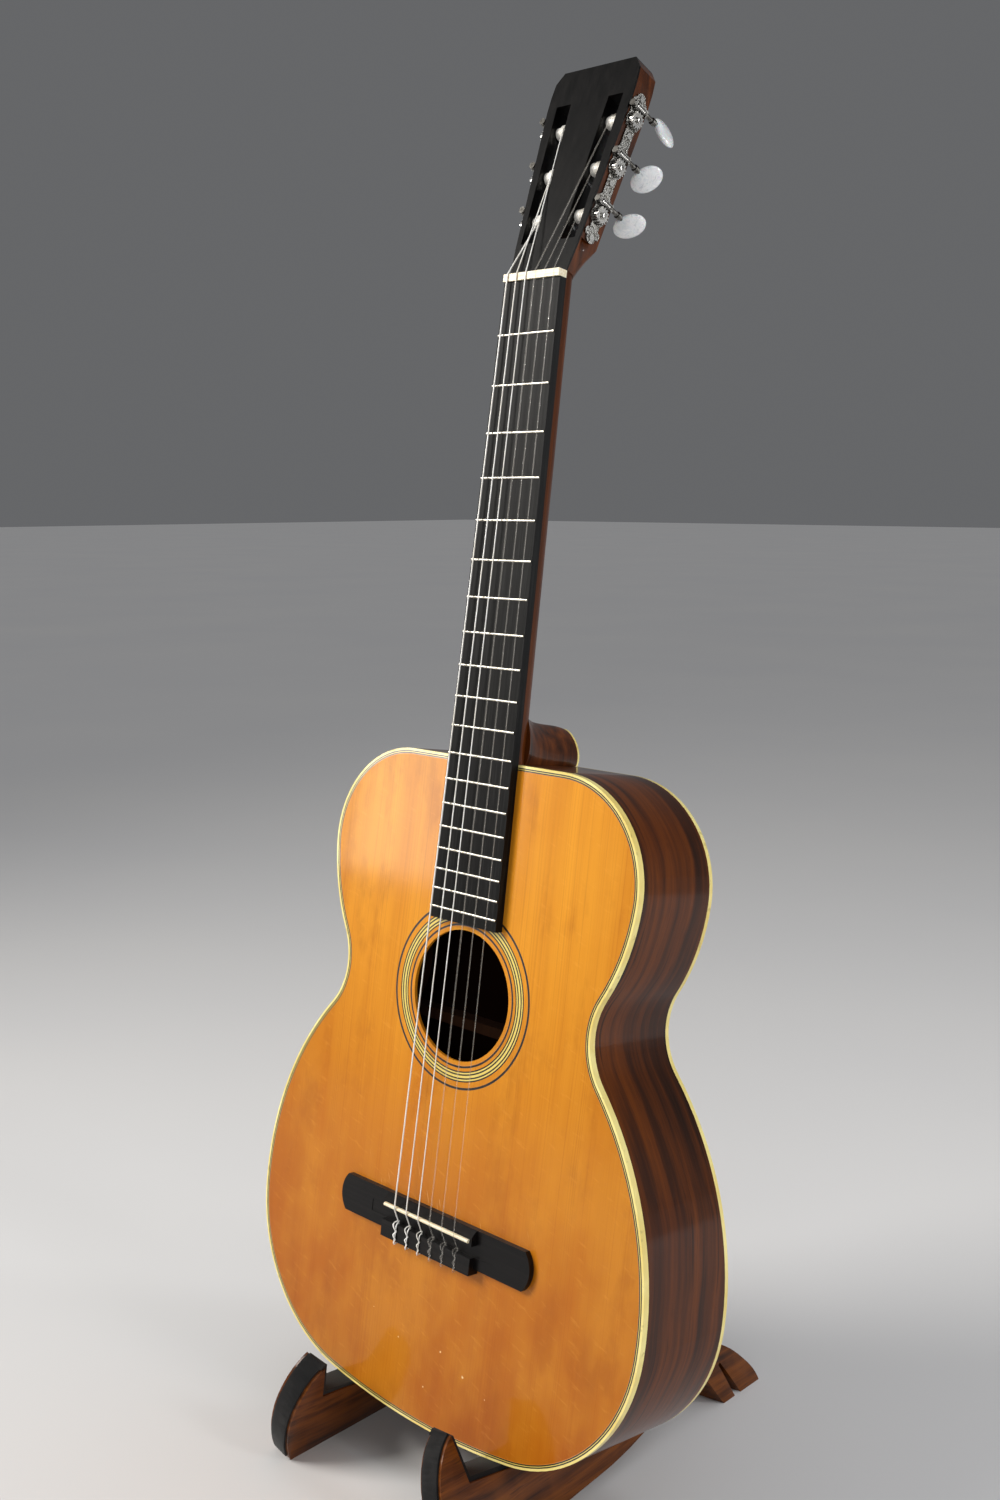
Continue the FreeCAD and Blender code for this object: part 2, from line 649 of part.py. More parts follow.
# Each plate has a round boss behind every gear and worm, and ends in a flared, lobed tip.
# Every worm turns over a shallow hollow in its plate.
PLATE_ENDS = (-20.0, 90.0)
PLATE_WAIST = 4.2
WORM_X = 3.1
HOLLOW_GAP = 0.5
plate_t = dim("plate_thickness")
for label, side in (("plate_treble", 1), ("plate_bass", -1)):
    rear = rearward(side)
    frame = tuner_frame(side, ROLLERS[0])
    shape = Part.makeBox(plate_t, PLATE_ENDS[1] - PLATE_ENDS[0] - 4.0, 2 * PLATE_WAIST,
                         Vector(0.05, PLATE_ENDS[0] + 2.0, -PLATE_WAIST))
    pieces = []
    cuts = []
    for tip, inward in ((PLATE_ENDS[0], 1), (PLATE_ENDS[1], -1)):
        pieces.append(Part.makeCylinder(4.4, plate_t, Vector(0.05, tip + 4.4 * inward, 0), Vector(1, 0, 0)))
        for step in (-1, 1):
            pieces.append(Part.makeCylinder(2.7, plate_t, Vector(0.05, tip + 7.0 * inward, step * 4.6),
                                            Vector(1, 0, 0)))
    for number, up in enumerate(ROLLERS):
        y = (up - ROLLERS[0]) / math.cos(TILT)
        pieces.append(Part.makeCylinder(7.4, plate_t, Vector(0.05, y, 0), Vector(1, 0, 0)))
        pieces.append(Part.makeCylinder(7.4, plate_t, Vector(0.05, y + WORM_RISE, 0), Vector(1, 0, 0)))
        cuts.append(Part.makeCylinder(dim("journal_radius") + 0.08, 3, Vector(-1, y, 0), Vector(1, 0, 0)))
        for step in (-1, 1):
            z = step * (LUG_INNER + LUG_OUTER) / 2
            pieces.append(Part.makeBox(4.6, 4.6, LUG_OUTER - LUG_INNER,
                                       Vector(0.05, y + WORM_RISE - 2.3, z - (LUG_OUTER - LUG_INNER) / 2)))
        shaft_hole = Part.makeCylinder(dim("key_radius") + 0.06, 20, Vector(WORM_X, y + WORM_RISE, -10),
                                       Vector(0, 0, 1))
        hollow = Part.makeCylinder(dim("worm_radius") + HOLLOW_GAP, 2 * LUG_INNER - 0.1,
                                   Vector(WORM_X, y + WORM_RISE, -LUG_INNER + 0.05), Vector(0, 0, 1))
        cuts += [shaft_hole, hollow]
    shape = shape.multiFuse(pieces)
    for y in (PLATE_ENDS[0] + 4, 24.0, 59.0, PLATE_ENDS[1] - 4):
        cuts.append(Part.makeCylinder(1.25, 3, Vector(-1, y, 0), Vector(1, 0, 0)))
    for cut in cuts:
        shape = shape.cut(cut)
    placed(label, shape.removeSplitter(), frame)

screw_shapes = []
for side in (1, -1):
    frame = tuner_frame(side, ROLLERS[0])
    for y in (PLATE_ENDS[0] + 4, 24.0, 59.0, PLATE_ENDS[1] - 4):
        screw = Part.makeCylinder(1.2, plate_t, Vector(0.05, y, 0), Vector(1, 0, 0))
        screw = screw.fuse(Part.makeCylinder(2.1, 0.9, Vector(plate_t + 0.05, y, 0), Vector(1, 0, 0)))
        screw.Placement = frame
        screw_shapes.append(screw)
guitar_feature("plate_screws", Part.makeCompound(screw_shapes))


def gear_shape():
    points = []
    for tooth in range(GEAR_TEETH):
        for radius, part in ((GEAR_RADIUS - 1.1, -0.32), (GEAR_RADIUS, -0.16), (GEAR_RADIUS, 0.16),
                             (GEAR_RADIUS - 1.1, 0.32)):
            angle = 2 * math.pi * (tooth + part) / GEAR_TEETH
            points.append(Vector(1.75, radius * math.cos(angle), radius * math.sin(angle)))
    points.append(points[0])
    blank = Part.Face(Part.makePolygon(points)).extrude(Vector(dim("gear_thickness"), 0, 0))
    return blank.fuse(Part.makeCylinder(2.4, 0.9, Vector(4.75, 0, 0), Vector(1, 0, 0)))


def roller_shape(up):
    near, far = slot_edges(up)
    journal = dim("journal_radius")
    shape = Part.makeCylinder(journal, 1.75 + far + 6.2, Vector(1.75, 0, 0), Vector(-1, 0, 0))
    sleeve = Part.makeCylinder(dim("sleeve_radius"), far - near - 1.2, Vector(-near - 0.6, 0, 0),
                               Vector(-1, 0, 0))
    return shape.fuse(sleeve)


BUTTON_DEPTH = 19.8


def key_shape(side):
    rear = rearward(side)
    start = -LUG_OUTER - 0.8
    length = BUTTON_DEPTH + 1.0 - start
    shape = Part.makeCylinder(dim("key_radius"), length, Vector(0, 0, rear * start), Vector(0, 0, rear))
    worm = Part.makeCylinder(dim("worm_radius"), 2 * LUG_INNER - 0.8, Vector(0, 0, -LUG_INNER + 0.4),
                             Vector(0, 0, 1))
    collar = Part.makeCylinder(2.4, 3.0, Vector(0, 0, rear * (LUG_OUTER + 6.5)), Vector(0, 0, rear))
    end = Part.makeCylinder(2.4, 1.2, Vector(0, 0, rear * start), Vector(0, 0, -rear))
    return shape.multiFuse([worm, collar, end])


def button_shape(side):
    rear = rearward(side)
    ball = Part.makeSphere(1.0)
    stretch = FreeCAD.Matrix()
    stretch.scale(3.6, 11.8, 10.5)
    oval = ball.transformGeometry(stretch)
    oval.translate(Vector(0, 0, rear * (BUTTON_DEPTH + 8.5)))
    socket = Part.makeCylinder(dim("key_radius"), BUTTON_DEPTH + 1.0, Vector(0, 0, 0), Vector(0, 0, rear))
    return oval.cut(socket)


# Tuners are numbered with their strings, the highest string being the first.
TUNERS = [(1, 1, ROLLERS[0]), (2, 1, ROLLERS[1]), (3, 1, ROLLERS[2]),
          (4, -1, ROLLERS[2]), (5, -1, ROLLERS[1]), (6, -1, ROLLERS[0])]
# The player leaves each key at its own angle.
KEY_TURNS = {1: -59.0, 2: -51.0, 3: 37.0, 4: 22.0, 5: 78.0, 6: -34.0}
for number, side, up in TUNERS:
    frame = tuner_frame(side, up)
    placed("roller_%d" % number, roller_shape(up), frame)
    placed("gear_%d" % number, gear_shape(), frame)
    key_frame = frame * Placement(Vector(WORM_X, WORM_RISE, 0), Rotation())
    key_frame = key_frame * Placement(Vector(0, 0, 0), Rotation(Vector(0, 0, 1), KEY_TURNS[number]))
    placed("key_%d" % number, key_shape(side), key_frame)
    placed("button_%d" % number, button_shape(side), key_frame)

# ---------------------------------------------------------------- folding stand

# Each side is a plank drawn in its own plane: s runs back along the plank, h up it, from
# the corner of the notch the guitar's lower edge sits in. The planks lean in at the top.
STAND_LEAN = 19.46
NOTCH_X = 64.14
NOTCH_Y = dim("guitar_y") - 51.95
NOTCH_Z = dim("guitar_z") - 139.16
plank = dim("plank")
FLOOR_INNER = -NOTCH_Z / math.cos(math.radians(STAND_LEAN))
FLOOR_OUTER = FLOOR_INNER - plank * math.tan(math.radians(STAND_LEAN))
PIVOT_Z = dim("guitar_z") + 30.0
BEVEL = 13.9
TOP_H = 190.5

FRONT = [(-11.0, -60.5), (-20.0, -45.0), (-25.4, -25.0), (-25.6, -5.0), (-21.5, 10.0), (-14.5, 22.0),
         (-5.6, 29.5)]
ARCH = [(259.5, -60.5), (250.0, -45.0), (242.0, -33.5), (228.0, -28.0), (205.0, -32.5), (170.0, -41.6),
        (130.0, -48.6), (90.0, -51.5), (66.0, -54.5), (48.0, -60.5)]
REAR = [(216.0, 176.0), (219.0, 110.0), (226.0, 50.0), (242.0, 4.0), (262.0, -13.0), (279.0, -24.5),
        (293.0, -38.5), (301.5, -50.5), (304.5, -60.5)]
CLEFT = [(280.5, -60.5), (268.5, -37.0), (264.5, -30.0), (262.3, -31.5), (264.8, -37.5), (272.8, -60.5)]
FLOOR_RISE = -0.169
CRADLE_BACK = 130.6
BACK_RISE = 0.1066


def cradle_floor(s):
    return 0.6 + FLOOR_RISE * s


def cradle_back(h):
    return CRADLE_BACK + BACK_RISE * h


def stand_placement(side):
    lean = math.radians(STAND_LEAN)
    back_way = Vector(0, 1, 0)
    up_way = Vector(-side * math.sin(lean), 0, math.cos(lean))
    turn = Rotation(back_way, up_way, back_way.cross(up_way), "ZXY")
    return Placement(Vector(side * NOTCH_X, NOTCH_Y, NOTCH_Z), turn)


def on_stand(thing, side):
    thing.Placement = stand_placement(side)
    thing.setExpression("Placement.Base.z", "dims.guitar_z - 139.16")
    return thing


def under_floor(side, gap):
    fall = math.tan(math.radians(STAND_LEAN))
    return loop([(FLOOR_INNER + fall + gap, -side * 1.0), (FLOOR_OUTER - fall + gap, side * (plank + 1.0)),
                 (-90.0, side * (plank + 1.0)), (-90.0, -side * 1.0)])


shrink = math.cos(math.radians(BEVEL))
HINGE_S = (160.0, 204.0)
lean_cos = math.cos(math.radians(STAND_LEAN))
lean_sin = math.sin(math.radians(STAND_LEAN))
PIVOT_H = (PIVOT_Z - NOTCH_Z) * lean_cos + NOTCH_X * lean_sin
PIVOT_N = NOTCH_X * lean_cos - (PIVOT_Z - NOTCH_Z) * lean_sin
SCREW_SPOTS = [(167.0, 158.0), (182.0, 158.0), (197.0, 158.0), (174.5, 168.0), (189.5, 168.0)]

for label, side in (("board_treble", 1), ("board_bass", -1)):
    # the plank's thickness runs outward: local +z on the treble side, -z on the bass side
    plank_body = new_body(label)
    top_edge = [(-5.6, 29.5), (60.0, 120.0), (150.0, TOP_H), (206.0, TOP_H)]
    top_round = Part.Arc(Vector(206.0, TOP_H, 0), Vector(213.2, 186.6, 0), Vector(216.0, 176.0, 0))
    outline = [curve(FRONT)] + chain(top_edge) + [top_round, curve(REAR)]
    outline += chain([(304.5, -60.5)] + CLEFT + [(259.5, -60.5)]) + [curve(ARCH)]
    outline += chain([(48.0, -60.5), (-11.0, -60.5)])
    side_line = add_sketch(plank_body, label + "_line", "XY_Plane", outline)
    pad(plank_body, label + "_blank", side_line, 20.0, "dims.plank", back=(side < 0))
    # the feet are cut level, so that both stand flat on the floor
    foot_line = add_sketch(plank_body, label + "_foot_line", "YZ_Plane", under_floor(side, 0.0))
    pocket(plank_body, label + "_feet", foot_line, 800, middle=True)
    # the cradle's edges are bevelled to the slope of the guitar's lower edge
    notch = [(0.0, cradle_floor(0)), (CRADLE_BACK - 2.3, cradle_floor(CRADLE_BACK - 2.3)),
             (cradle_back(TOP_H + 20), TOP_H + 20), (-10.0, TOP_H + 20), (-6.2, 36.0)]
    notch_line = add_sketch(plank_body, label + "_cradle_line", "XY_Plane",
                            loop([(s, h * shrink) for s, h in notch]), turn=side * BEVEL)
    pocket(plank_body, label + "_cradle", notch_line, 140, middle=True)
    holes = add_sketch(plank_body, label + "_screw_holes", "XY_Plane",
                       [disc(s, h, 1.5) for s, h in SCREW_SPOTS])
    pocket(plank_body, label + "_pilots", holes, 24.0, middle=True)
    on_stand(plank_body, side)

LINING = 3.0


def offset_curve(points, gap):
    moved = []
    for k in range(len(points)):
        a = points[max(k - 1, 0)]
        b = points[min(k + 1, len(points) - 1)]
        run = math.hypot(b[0] - a[0], b[1] - a[1])
        moved.append((points[k][0] - (b[1] - a[1]) / run * gap, points[k][1] + (b[0] - a[0]) / run * gap))
    return moved


# The rubber is narrower than the plank, so that the plank's rounded edges stay bare.
STRIP_INSET = dim("strip_inset")
LINING_INSET = 1.2
for label, side in (("pad_treble", 1), ("pad_bass", -1)):
    strip = new_body(label)
    outside = offset_curve(FRONT, dim("front_strip"))
    front = [curve(FRONT), curve(outside)] + chain([FRONT[0], outside[0]])
    front += chain([FRONT[-1], outside[-1]])
    front_sketch = add_sketch(strip, label + "_front_line", "XY_Plane", front,
                              shift=(0, 0, side * STRIP_INSET))
    pad(strip, label + "_front", front_sketch, 15.0, "dims.plank - 2 * dims.strip_inset", back=(side < 0))
    end_line = add_sketch(strip, label + "_end_line", "YZ_Plane", under_floor(side, 4.0))
    pocket(strip, label + "_end", end_line, 800, middle=True)
    on_stand(strip, side)

    cradle = new_body(label + "_cradle")
    lip_top = (-5.6, 32.6)
    corner = CRADLE_BACK - 2.3
    band = [(0.0, cradle_floor(0)), (corner, cradle_floor(corner)), (cradle_back(TOP_H - 14), TOP_H - 14),
            (cradle_back(TOP_H - 14) - LINING, TOP_H - 14),
            (corner - LINING + 0.4, cradle_floor(corner) + LINING + 0.6),
            (LINING - 0.6, cradle_floor(0) + LINING), (lip_top[0] + 2.4, lip_top[1]), lip_top, (-8.6, 30.0),
            (-6.0, 27.0)]
    cradle_sketch = add_sketch(cradle, label + "_cradle_line", "XY_Plane",
                               loop([(s, h * shrink) for s, h in band]), turn=side * BEVEL)
    pad(cradle, label + "_cradle_band", cradle_sketch, 140, middle=True)
    flush = add_sketch(cradle, label + "_flush_line", "YZ_Plane",
                       rectangle(-80, 260, side * (plank - LINING_INSET), side * 120))
    pocket(cradle, label + "_flush_out", flush, 900, middle=True)
    flush = add_sketch(cradle, label + "_flush_in_line", "YZ_Plane",
                       rectangle(-80, 260, -side * 120, side * LINING_INSET))
    pocket(cradle, label + "_flush_in", flush, 900, middle=True)
    on_stand(cradle, side)
    strip.Label = label + "_front_strip"
    cradle.Label = label + "_cradle_strip"
    joined = doc.addObject("Part::MultiFuse", label + "_fuse")
    joined.Shapes = [strip, cradle]
    joined.Refine = True
    fitted = doc.addObject("Part::Cut", label + "_fitted")
    fitted.Base = joined
    fitted.Tool = doc.getObjectsByLabel("board_" + label.split("_")[1])[0]
    fitted.Label = label
    doc.recompute()

# ---------------------------------------------------------------- hinge

KNUCKLE = 3.4
LEAF = 1.5
STEP = (HINGE_S[1] - HINGE_S[0]) / 5.0
for label, side, knuckles, slack in (("hinge_leaf_bass", -1, (0, 2, 4), 0.0),
                                     ("hinge_leaf_treble", 1, (1, 3), 0.05)):
    inward = -side
    leaf = Part.makeBox(HINGE_S[1] - HINGE_S[0], PIVOT_H - 153.0, LEAF,
                        Vector(HINGE_S[0], 153.0, min(0, inward * LEAF)))
    pieces = []
    gaps = []
    for k in range(5):
        a = HINGE_S[0] + k * STEP
        if k in knuckles:
            low = a if k == 0 else a + 0.2
            high = a + STEP if k == 4 else a + STEP - 0.2
            pieces.append(Part.makeCylinder(KNUCKLE, high - low, Vector(low, PIVOT_H, inward * PIVOT_N),
                                            Vector(1, 0, 0)))
        else:
            gaps.append(Part.makeBox(STEP + 0.4, 20, 20, Vector(a - 0.2, PIVOT_H - KNUCKLE - 0.6, -10)))
    for gap in gaps:
        leaf = leaf.cut(gap)
    shape = leaf.multiFuse(pieces)
    bore = Part.makeCylinder(dim("pin_radius") + slack, 60,
                             Vector(HINGE_S[0] - 5, PIVOT_H, inward * PIVOT_N), Vector(1, 0, 0))
    shape = shape.cut(bore)
    for s, h in SCREW_SPOTS:
        shape = shape.cut(Part.makeCylinder(1.5, 10, Vector(s, h, -5), Vector(0, 0, 1)))
        head = Part.makeCylinder(2.8, 1.0, Vector(s, h, inward * LEAF), Vector(0, 0, -inward))
        shape = shape.cut(head)
    thing = doc.addObject("Part::Feature", label + "_feature")
    thing.Label = label
    thing.Shape = shape.removeSplitter()
    on_stand(thing, side)
    screws = []
    for s, h in SCREW_SPOTS:
        screw = Part.makeCylinder(2.75, 0.95, Vector(s, h, inward * LEAF), Vector(0, 0, -inward))
        shank = Part.makeCylinder(1.5, 12.0, Vector(s, h, inward * (LEAF - 0.5)), Vector(0, 0, -inward))
        screws.append(screw.fuse(shank))
    thing = doc.addObject("Part::Feature", label.replace("leaf", "screws") + "_feature")
    thing.Label = label.replace("leaf", "screws")
    thing.Shape = Part.makeCompound(screws)
    on_stand(thing, side)

pin = doc.addObject("Part::Cylinder", "hinge_pin_rod")
pin.Label = "hinge_pin"
pin.setExpression("Radius", "dims.pin_radius")
pin.setExpression("Height", "dims.pin_length")
pin.Placement = Placement(Vector(0, NOTCH_Y + HINGE_S[0], PIVOT_Z), Rotation(Vector(1, 0, 0), -90))
doc.recompute()

# ---------------------------------------------------------------- export

NODES = ["soundboard", "back", "side_treble", "side_bass", "binding_front", "binding_back",
         "purfling", "rosette", "neck_block", "tail_block", "kerfed_linings", "top_braces",
         "back_braces", "neck", "heel_cap",
         "head_veneer", "fingerboard", "frets", "nut", "bridge", "saddle", "wound_strings", "nylon_strings",
         "plate_treble", "plate_bass", "plate_screws", "board_treble", "board_bass", "pad_treble", "pad_bass",
         "hinge_leaf_treble", "hinge_leaf_bass", "hinge_screws_treble", "hinge_screws_bass", "hinge_pin"]
for number in range(1, 7):
    NODES += ["roller_%d" % number, "gear_%d" % number, "key_%d" % number, "button_%d" % number]

for thing in doc.Objects:
    for word in ("Invalid", "Error"):
        if word in thing.State:
            raise RuntimeError("%s is %s" % (thing.Label, word))

low = [1e9] * 3
high = [-1e9] * 3
for node in NODES:
    thing = doc.getObjectsByLabel(node)[0]
    shape = thing.Shape
    if shape.isNull() or not shape.isValid() or not shape.Solids:
        raise RuntimeError("bad shape: " + node)
    shape.exportStep("parts/%s.step" % node)
    box = shape.BoundBox
    for axis, a, b in ((0, box.XMin, box.XMax), (1, box.YMin, box.YMax), (2, box.ZMin, box.ZMax)):
        low[axis] = min(low[axis], a)
        high[axis] = max(high[axis], b)
    print("%-20s solids %2d  volume %10.1f" % (node, len(shape.Solids), shape.Volume))
print("box low", [round(v, 2) for v in low], "high", [round(v, 2) for v in high])
print("middle y", round((low[1] + high[1]) / 2, 3), "pivot h, n", round(PIVOT_H, 2), round(PIVOT_N, 2))
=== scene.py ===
# %% [markdown]
# # A classical guitar on a wooden stand
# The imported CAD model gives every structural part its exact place: plates, bent sides, neck, strings,
# tuning machines and the two planks of the stand. This lesson dresses those parts in wood, metal, bone
# and lacquer, and adds the small things that a maker does last: rounded edges, string windings, knots.

# %% Load the frame
import math

import bpy
from mathutils import Matrix, Vector
from mathutils.bvhtree import BVHTree


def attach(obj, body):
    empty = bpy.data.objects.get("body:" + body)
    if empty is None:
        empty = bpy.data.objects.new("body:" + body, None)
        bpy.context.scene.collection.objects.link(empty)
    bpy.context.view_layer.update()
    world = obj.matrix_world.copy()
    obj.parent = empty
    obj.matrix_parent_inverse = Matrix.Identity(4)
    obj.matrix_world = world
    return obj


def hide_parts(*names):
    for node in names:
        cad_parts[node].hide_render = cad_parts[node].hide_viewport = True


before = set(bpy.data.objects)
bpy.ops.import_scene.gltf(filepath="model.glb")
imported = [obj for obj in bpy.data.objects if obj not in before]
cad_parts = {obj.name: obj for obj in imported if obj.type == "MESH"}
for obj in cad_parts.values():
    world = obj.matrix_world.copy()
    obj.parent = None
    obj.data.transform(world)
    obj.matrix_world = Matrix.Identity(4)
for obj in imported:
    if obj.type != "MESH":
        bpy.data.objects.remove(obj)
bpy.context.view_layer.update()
bpy.ops.object.select_all(action="DESELECT")
MM = 0.001

# %% [markdown]
# The guitar leans back by nine degrees against its stand. Most of its parts are easiest to describe in
# the luthier's own directions: x to the treble side, y into the body, z up the neck, with the origin on
# the soundboard under the saddle. One matrix turns those directions into the room's.

# %% The guitar's own directions
LEAN = math.radians(9.07)
SADDLE_POINT = Vector((0, -86.34, 188.2))
GUITAR = Matrix.Translation(SADDLE_POINT) @ Matrix.Rotation(-LEAN, 4, "X")
TO_METRES = Matrix.Diagonal((MM, MM, MM, 1))


def on_guitar(x, y, z):
    """A point given in the guitar's millimetres, in the room's metres."""
    return TO_METRES @ (GUITAR @ Vector((x, y, z)))


HOLE_CENTRE = (0, 0, 158.5)
print("hole centre", [round(v, 4) for v in on_guitar(*HOLE_CENTRE)])

# %% [markdown]
# The camera stands low in front of the treble side and looks a little down, so that the top, the bent
# side and one row of tuners are all seen. It is set first, because every later choice of detail depends
# on what it can resolve.

# %% Camera
right = Vector((0.7231, 0.6908, 0.0)).normalized()
forward = Vector((-0.6817, 0.7136, -0.1612)).normalized()
up = right.cross(forward).normalized()
right = forward.cross(up).normalized()
camera_data = bpy.data.cameras.new("camera")
camera_data.lens = 37.57
camera_data.sensor_width = 36.0
camera_data.clip_end = 50
camera = bpy.data.objects.new("camera", camera_data)
bpy.context.scene.collection.objects.link(camera)
turn = Matrix((right, up, -forward)).transposed().to_4x4()
camera.matrix_world = Matrix.Translation((0.7407, -0.79684, 0.6876)) @ turn
bpy.context.scene.camera = camera
print("camera", [round(v, 3) for v in camera.location])

# %% [markdown]
# There is no free cord or cloth on this object: the six strings are held taut at both ends, so they are
# part of the frame. Next come the floor and the light. A lacquered guitar is lit with big soft boxes,
# since lacquer mirrors whatever shines on it. One large box from the front left shapes the top, and a
# small one beside it lays a soft glow by the fingerboard. A tall strip and a small window on the right
# are mirrored in the dark side, and a faint box fills the shadows. A wide sun nearly overhead, like a
# white ceiling, keeps the floor pale all the way to the horizon.

# %% Floor and light
scene = bpy.context.scene
scene.view_settings.view_transform = "Standard"
world = bpy.data.worlds.new("studio")
scene.world = world
world.use_nodes = True
backdrop = world.node_tree.nodes["Background"]
backdrop.inputs["Color"].default_value = (0.55, 0.56, 0.58, 1)
backdrop.inputs["Strength"].default_value = 0.24


def soft_box(name, place, target, width, height, power, tint=(1, 1, 1)):
    """A rectangular light of so many watts that faces its target."""
    light = bpy.data.lights.new(name, "AREA")
    light.shape = "RECTANGLE"
    light.size, light.size_y = width, height
    light.energy = power
    light.color = tint
    thing = bpy.data.objects.new(name, light)
    thing.location = place
    thing.rotation_euler = (Vector(target) - Vector(place)).to_track_quat("-Z", "Y").to_euler()
    scene.collection.objects.link(thing)
    return thing


key = soft_box("key_light", (-1.25, -1.55, 1.75), (-0.05, 0, 0.72), 1.1, 1.1, 25, (1.0, 0.97, 0.92))
key.data.spread = math.radians(110)
soft_box("strip_light", (1.9, 1.15, 0.95), (0.1, 0, 0.4), 0.35, 0.9, 16)
soft_box("glow_light", (-1.39, -1.38, 0.56), (-0.045, -0.04, 0.47), 0.30, 0.38, 3.2,
         (1.0, 0.94, 0.88))
soft_box("side_window", (1.75, 0.10, 1.25), (0.12, 0, 0.40), 0.28, 0.5, 6)
soft_box("fill_light", (1.6, -2.2, 1.3), (0, 0, 0.4), 1.2, 0.8, 12)

ceiling = bpy.data.objects.new("ceiling_light", bpy.data.lights.new("ceiling_light", "SUN"))
ceiling.data.energy = 0.75
ceiling.data.angle = math.radians(70)
ceiling.rotation_euler = (math.radians(-16), 0, 0)
scene.collection.objects.link(ceiling)

bpy.ops.mesh.primitive_plane_add(size=60, location=(0, 0, 0))
floor = bpy.context.object
floor.name = "floor"
bpy.ops.object.select_all(action="DESELECT")

# %% [markdown]
# A finish is a small network of nodes. Writing that network as sums keeps it short: `Value` wraps one
# socket, so `grain * 0.4 - pores` adds its own maths nodes. Colours are mixed, never added, and every
# other node is made by one method that takes its type, its settings and its sockets.

# %% Node writing
class Value:
    """One number or colour on its way through a finish."""

    def __init__(self, finish, socket):
        self.finish = finish
        self.socket = socket

    def __add__(self, other):
        return self.finish.maths("ADD", self, other)

    def __sub__(self, other):
        return self.finish.maths("SUBTRACT", self, other)

    def __mul__(self, other):
        return self.finish.maths("MULTIPLY", self, other)

    def __truediv__(self, other):
        return self.finish.maths("DIVIDE", self, other)

    def __lt__(self, other):
        return self.finish.maths("LESS_THAN", self, other)

    def __gt__(self, other):
        return self.finish.maths("GREATER_THAN", self, other)

    def __abs__(self):
        return self.finish.maths("ABSOLUTE", self)

    __radd__ = __add__
    __rmul__ = __mul__


def colour(red, green, blue):
    """A colour as a paint chart gives it, 0 to 255, made linear for the shader."""
    return tuple(((v / 255 + 0.055) / 1.055) ** 2.4 if v > 10 else v / 255 / 12.92
                 for v in (red, green, blue)) + (1.0,)


class Finish:
    """A procedural material: a Principled shader and the nodes that feed it."""

    def __init__(self, name, **constants):
        self.material = bpy.data.materials.new(name)
        self.material.use_nodes = True
        self.tree = self.material.node_tree
        self.shader = self.tree.nodes["Principled BSDF"]
        for socket, value in constants.items():
            self.shader.inputs[socket.replace("_", " ")].default_value = value

    def node(self, kind, settings=None, sockets=None, out=0):
        made = self.tree.nodes.new(kind)
        for key, value in (settings or {}).items():
            if key == "stops":
                ramp = made.color_ramp
                while len(ramp.elements) < len(value):
                    ramp.elements.new(0.5)
                for element, (position, tone) in zip(ramp.elements, value):
                    element.position = position
                    element.color = tone
            else:
                setattr(made, key, value)
        for key, value in (sockets or {}).items():
            self.feed(made.inputs[key], value)
        return Value(self, made.outputs[out])

    def feed(self, socket, value):
        if isinstance(value, Value):
            self.tree.links.new(value.socket, socket)
        else:
            socket.default_value = value

    def maths(self, operation, *values):
        return self.node("ShaderNodeMath", {"operation": operation}, dict(enumerate(values)))

    def smooth(self, value, low, high):
        """0 below low, 1 above high, and a soft step between them; low may be the larger."""
        return self.node("ShaderNodeMapRange", {"interpolation_type": "SMOOTHSTEP"},
                         {"Value": value, "From Min": low, "From Max": high})

    def mix(self, factor, a, b, blend="MIX"):
        return self.node("ShaderNodeMix", {"data_type": "RGBA", "blend_type": blend},
                         {0: factor, 6: a, 7: b}, out=2)

    def place(self, turn=(0, 0, 0), centre=(0, 0, 0)):
        """Object coordinates in metres, turned and centred to the piece."""
        spot = self.node("ShaderNodeTexCoord", out="Object")
        return self.node("ShaderNodeMapping", {"vector_type": "TEXTURE"},
                         {"Vector": spot, "Location": centre, "Rotation": turn})

    def axes(self, vector):
        """The three numbers of a vector, each as a Value."""
        parts = self.tree.nodes.new("ShaderNodeSeparateXYZ")
        self.tree.links.new(vector.socket, parts.inputs[0])
        return [Value(self, parts.outputs[k]) for k in range(3)]

    def vector(self, x, y, z):
        return self.node("ShaderNodeCombineXYZ", None, {0: x, 1: y, 2: z})

    def noise(self, vector, scale, detail=2.0, roughness=0.5):
        """Soft random patches from 0 to 1; the scale counts them to the metre."""
        return self.node("ShaderNodeTexNoise", None,
                         {"Vector": vector, "Scale": scale, "Detail": detail, "Roughness": roughness})

    def cells(self, vector, scale):
        """The distance to the nearest of many scattered points."""
        return self.node("ShaderNodeTexVoronoi", None, {"Vector": vector, "Scale": scale}, out="Distance")

    def paint(self, **sockets):
        """Feeds the shader's own sockets, named with _ for a space."""
        for socket, value in sockets.items():
            self.feed(self.shader.inputs[socket.replace("_", " ")], value)

    def bump(self, height, depth_mm, strength=1.0):
        """Turns a height into a bumped surface that is so many millimetres deep."""
        self.paint(Normal=self.node("ShaderNodeBump", None,
                                    {"Strength": strength, "Distance": depth_mm * MM, "Height": height},
                                    out="Normal"))


def dress(finish, *names):
    """Gives CAD nodes a finish through their material slots."""
    for name in names:
        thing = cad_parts[name]
        if not thing.material_slots:
            thing.data.materials.append(finish.material)
        for place in thing.material_slots:
            place.material = finish.material


GUITAR_TURN = (-LEAN, 0, 0)
GUITAR_CENTRE = tuple(SADDLE_POINT * MM)
print("saddle at", [round(v, 4) for v in GUITAR_CENTRE])

# %% [markdown]
# The floor is plain pale paper, with a hardly visible cloudiness so that it does not look computed.

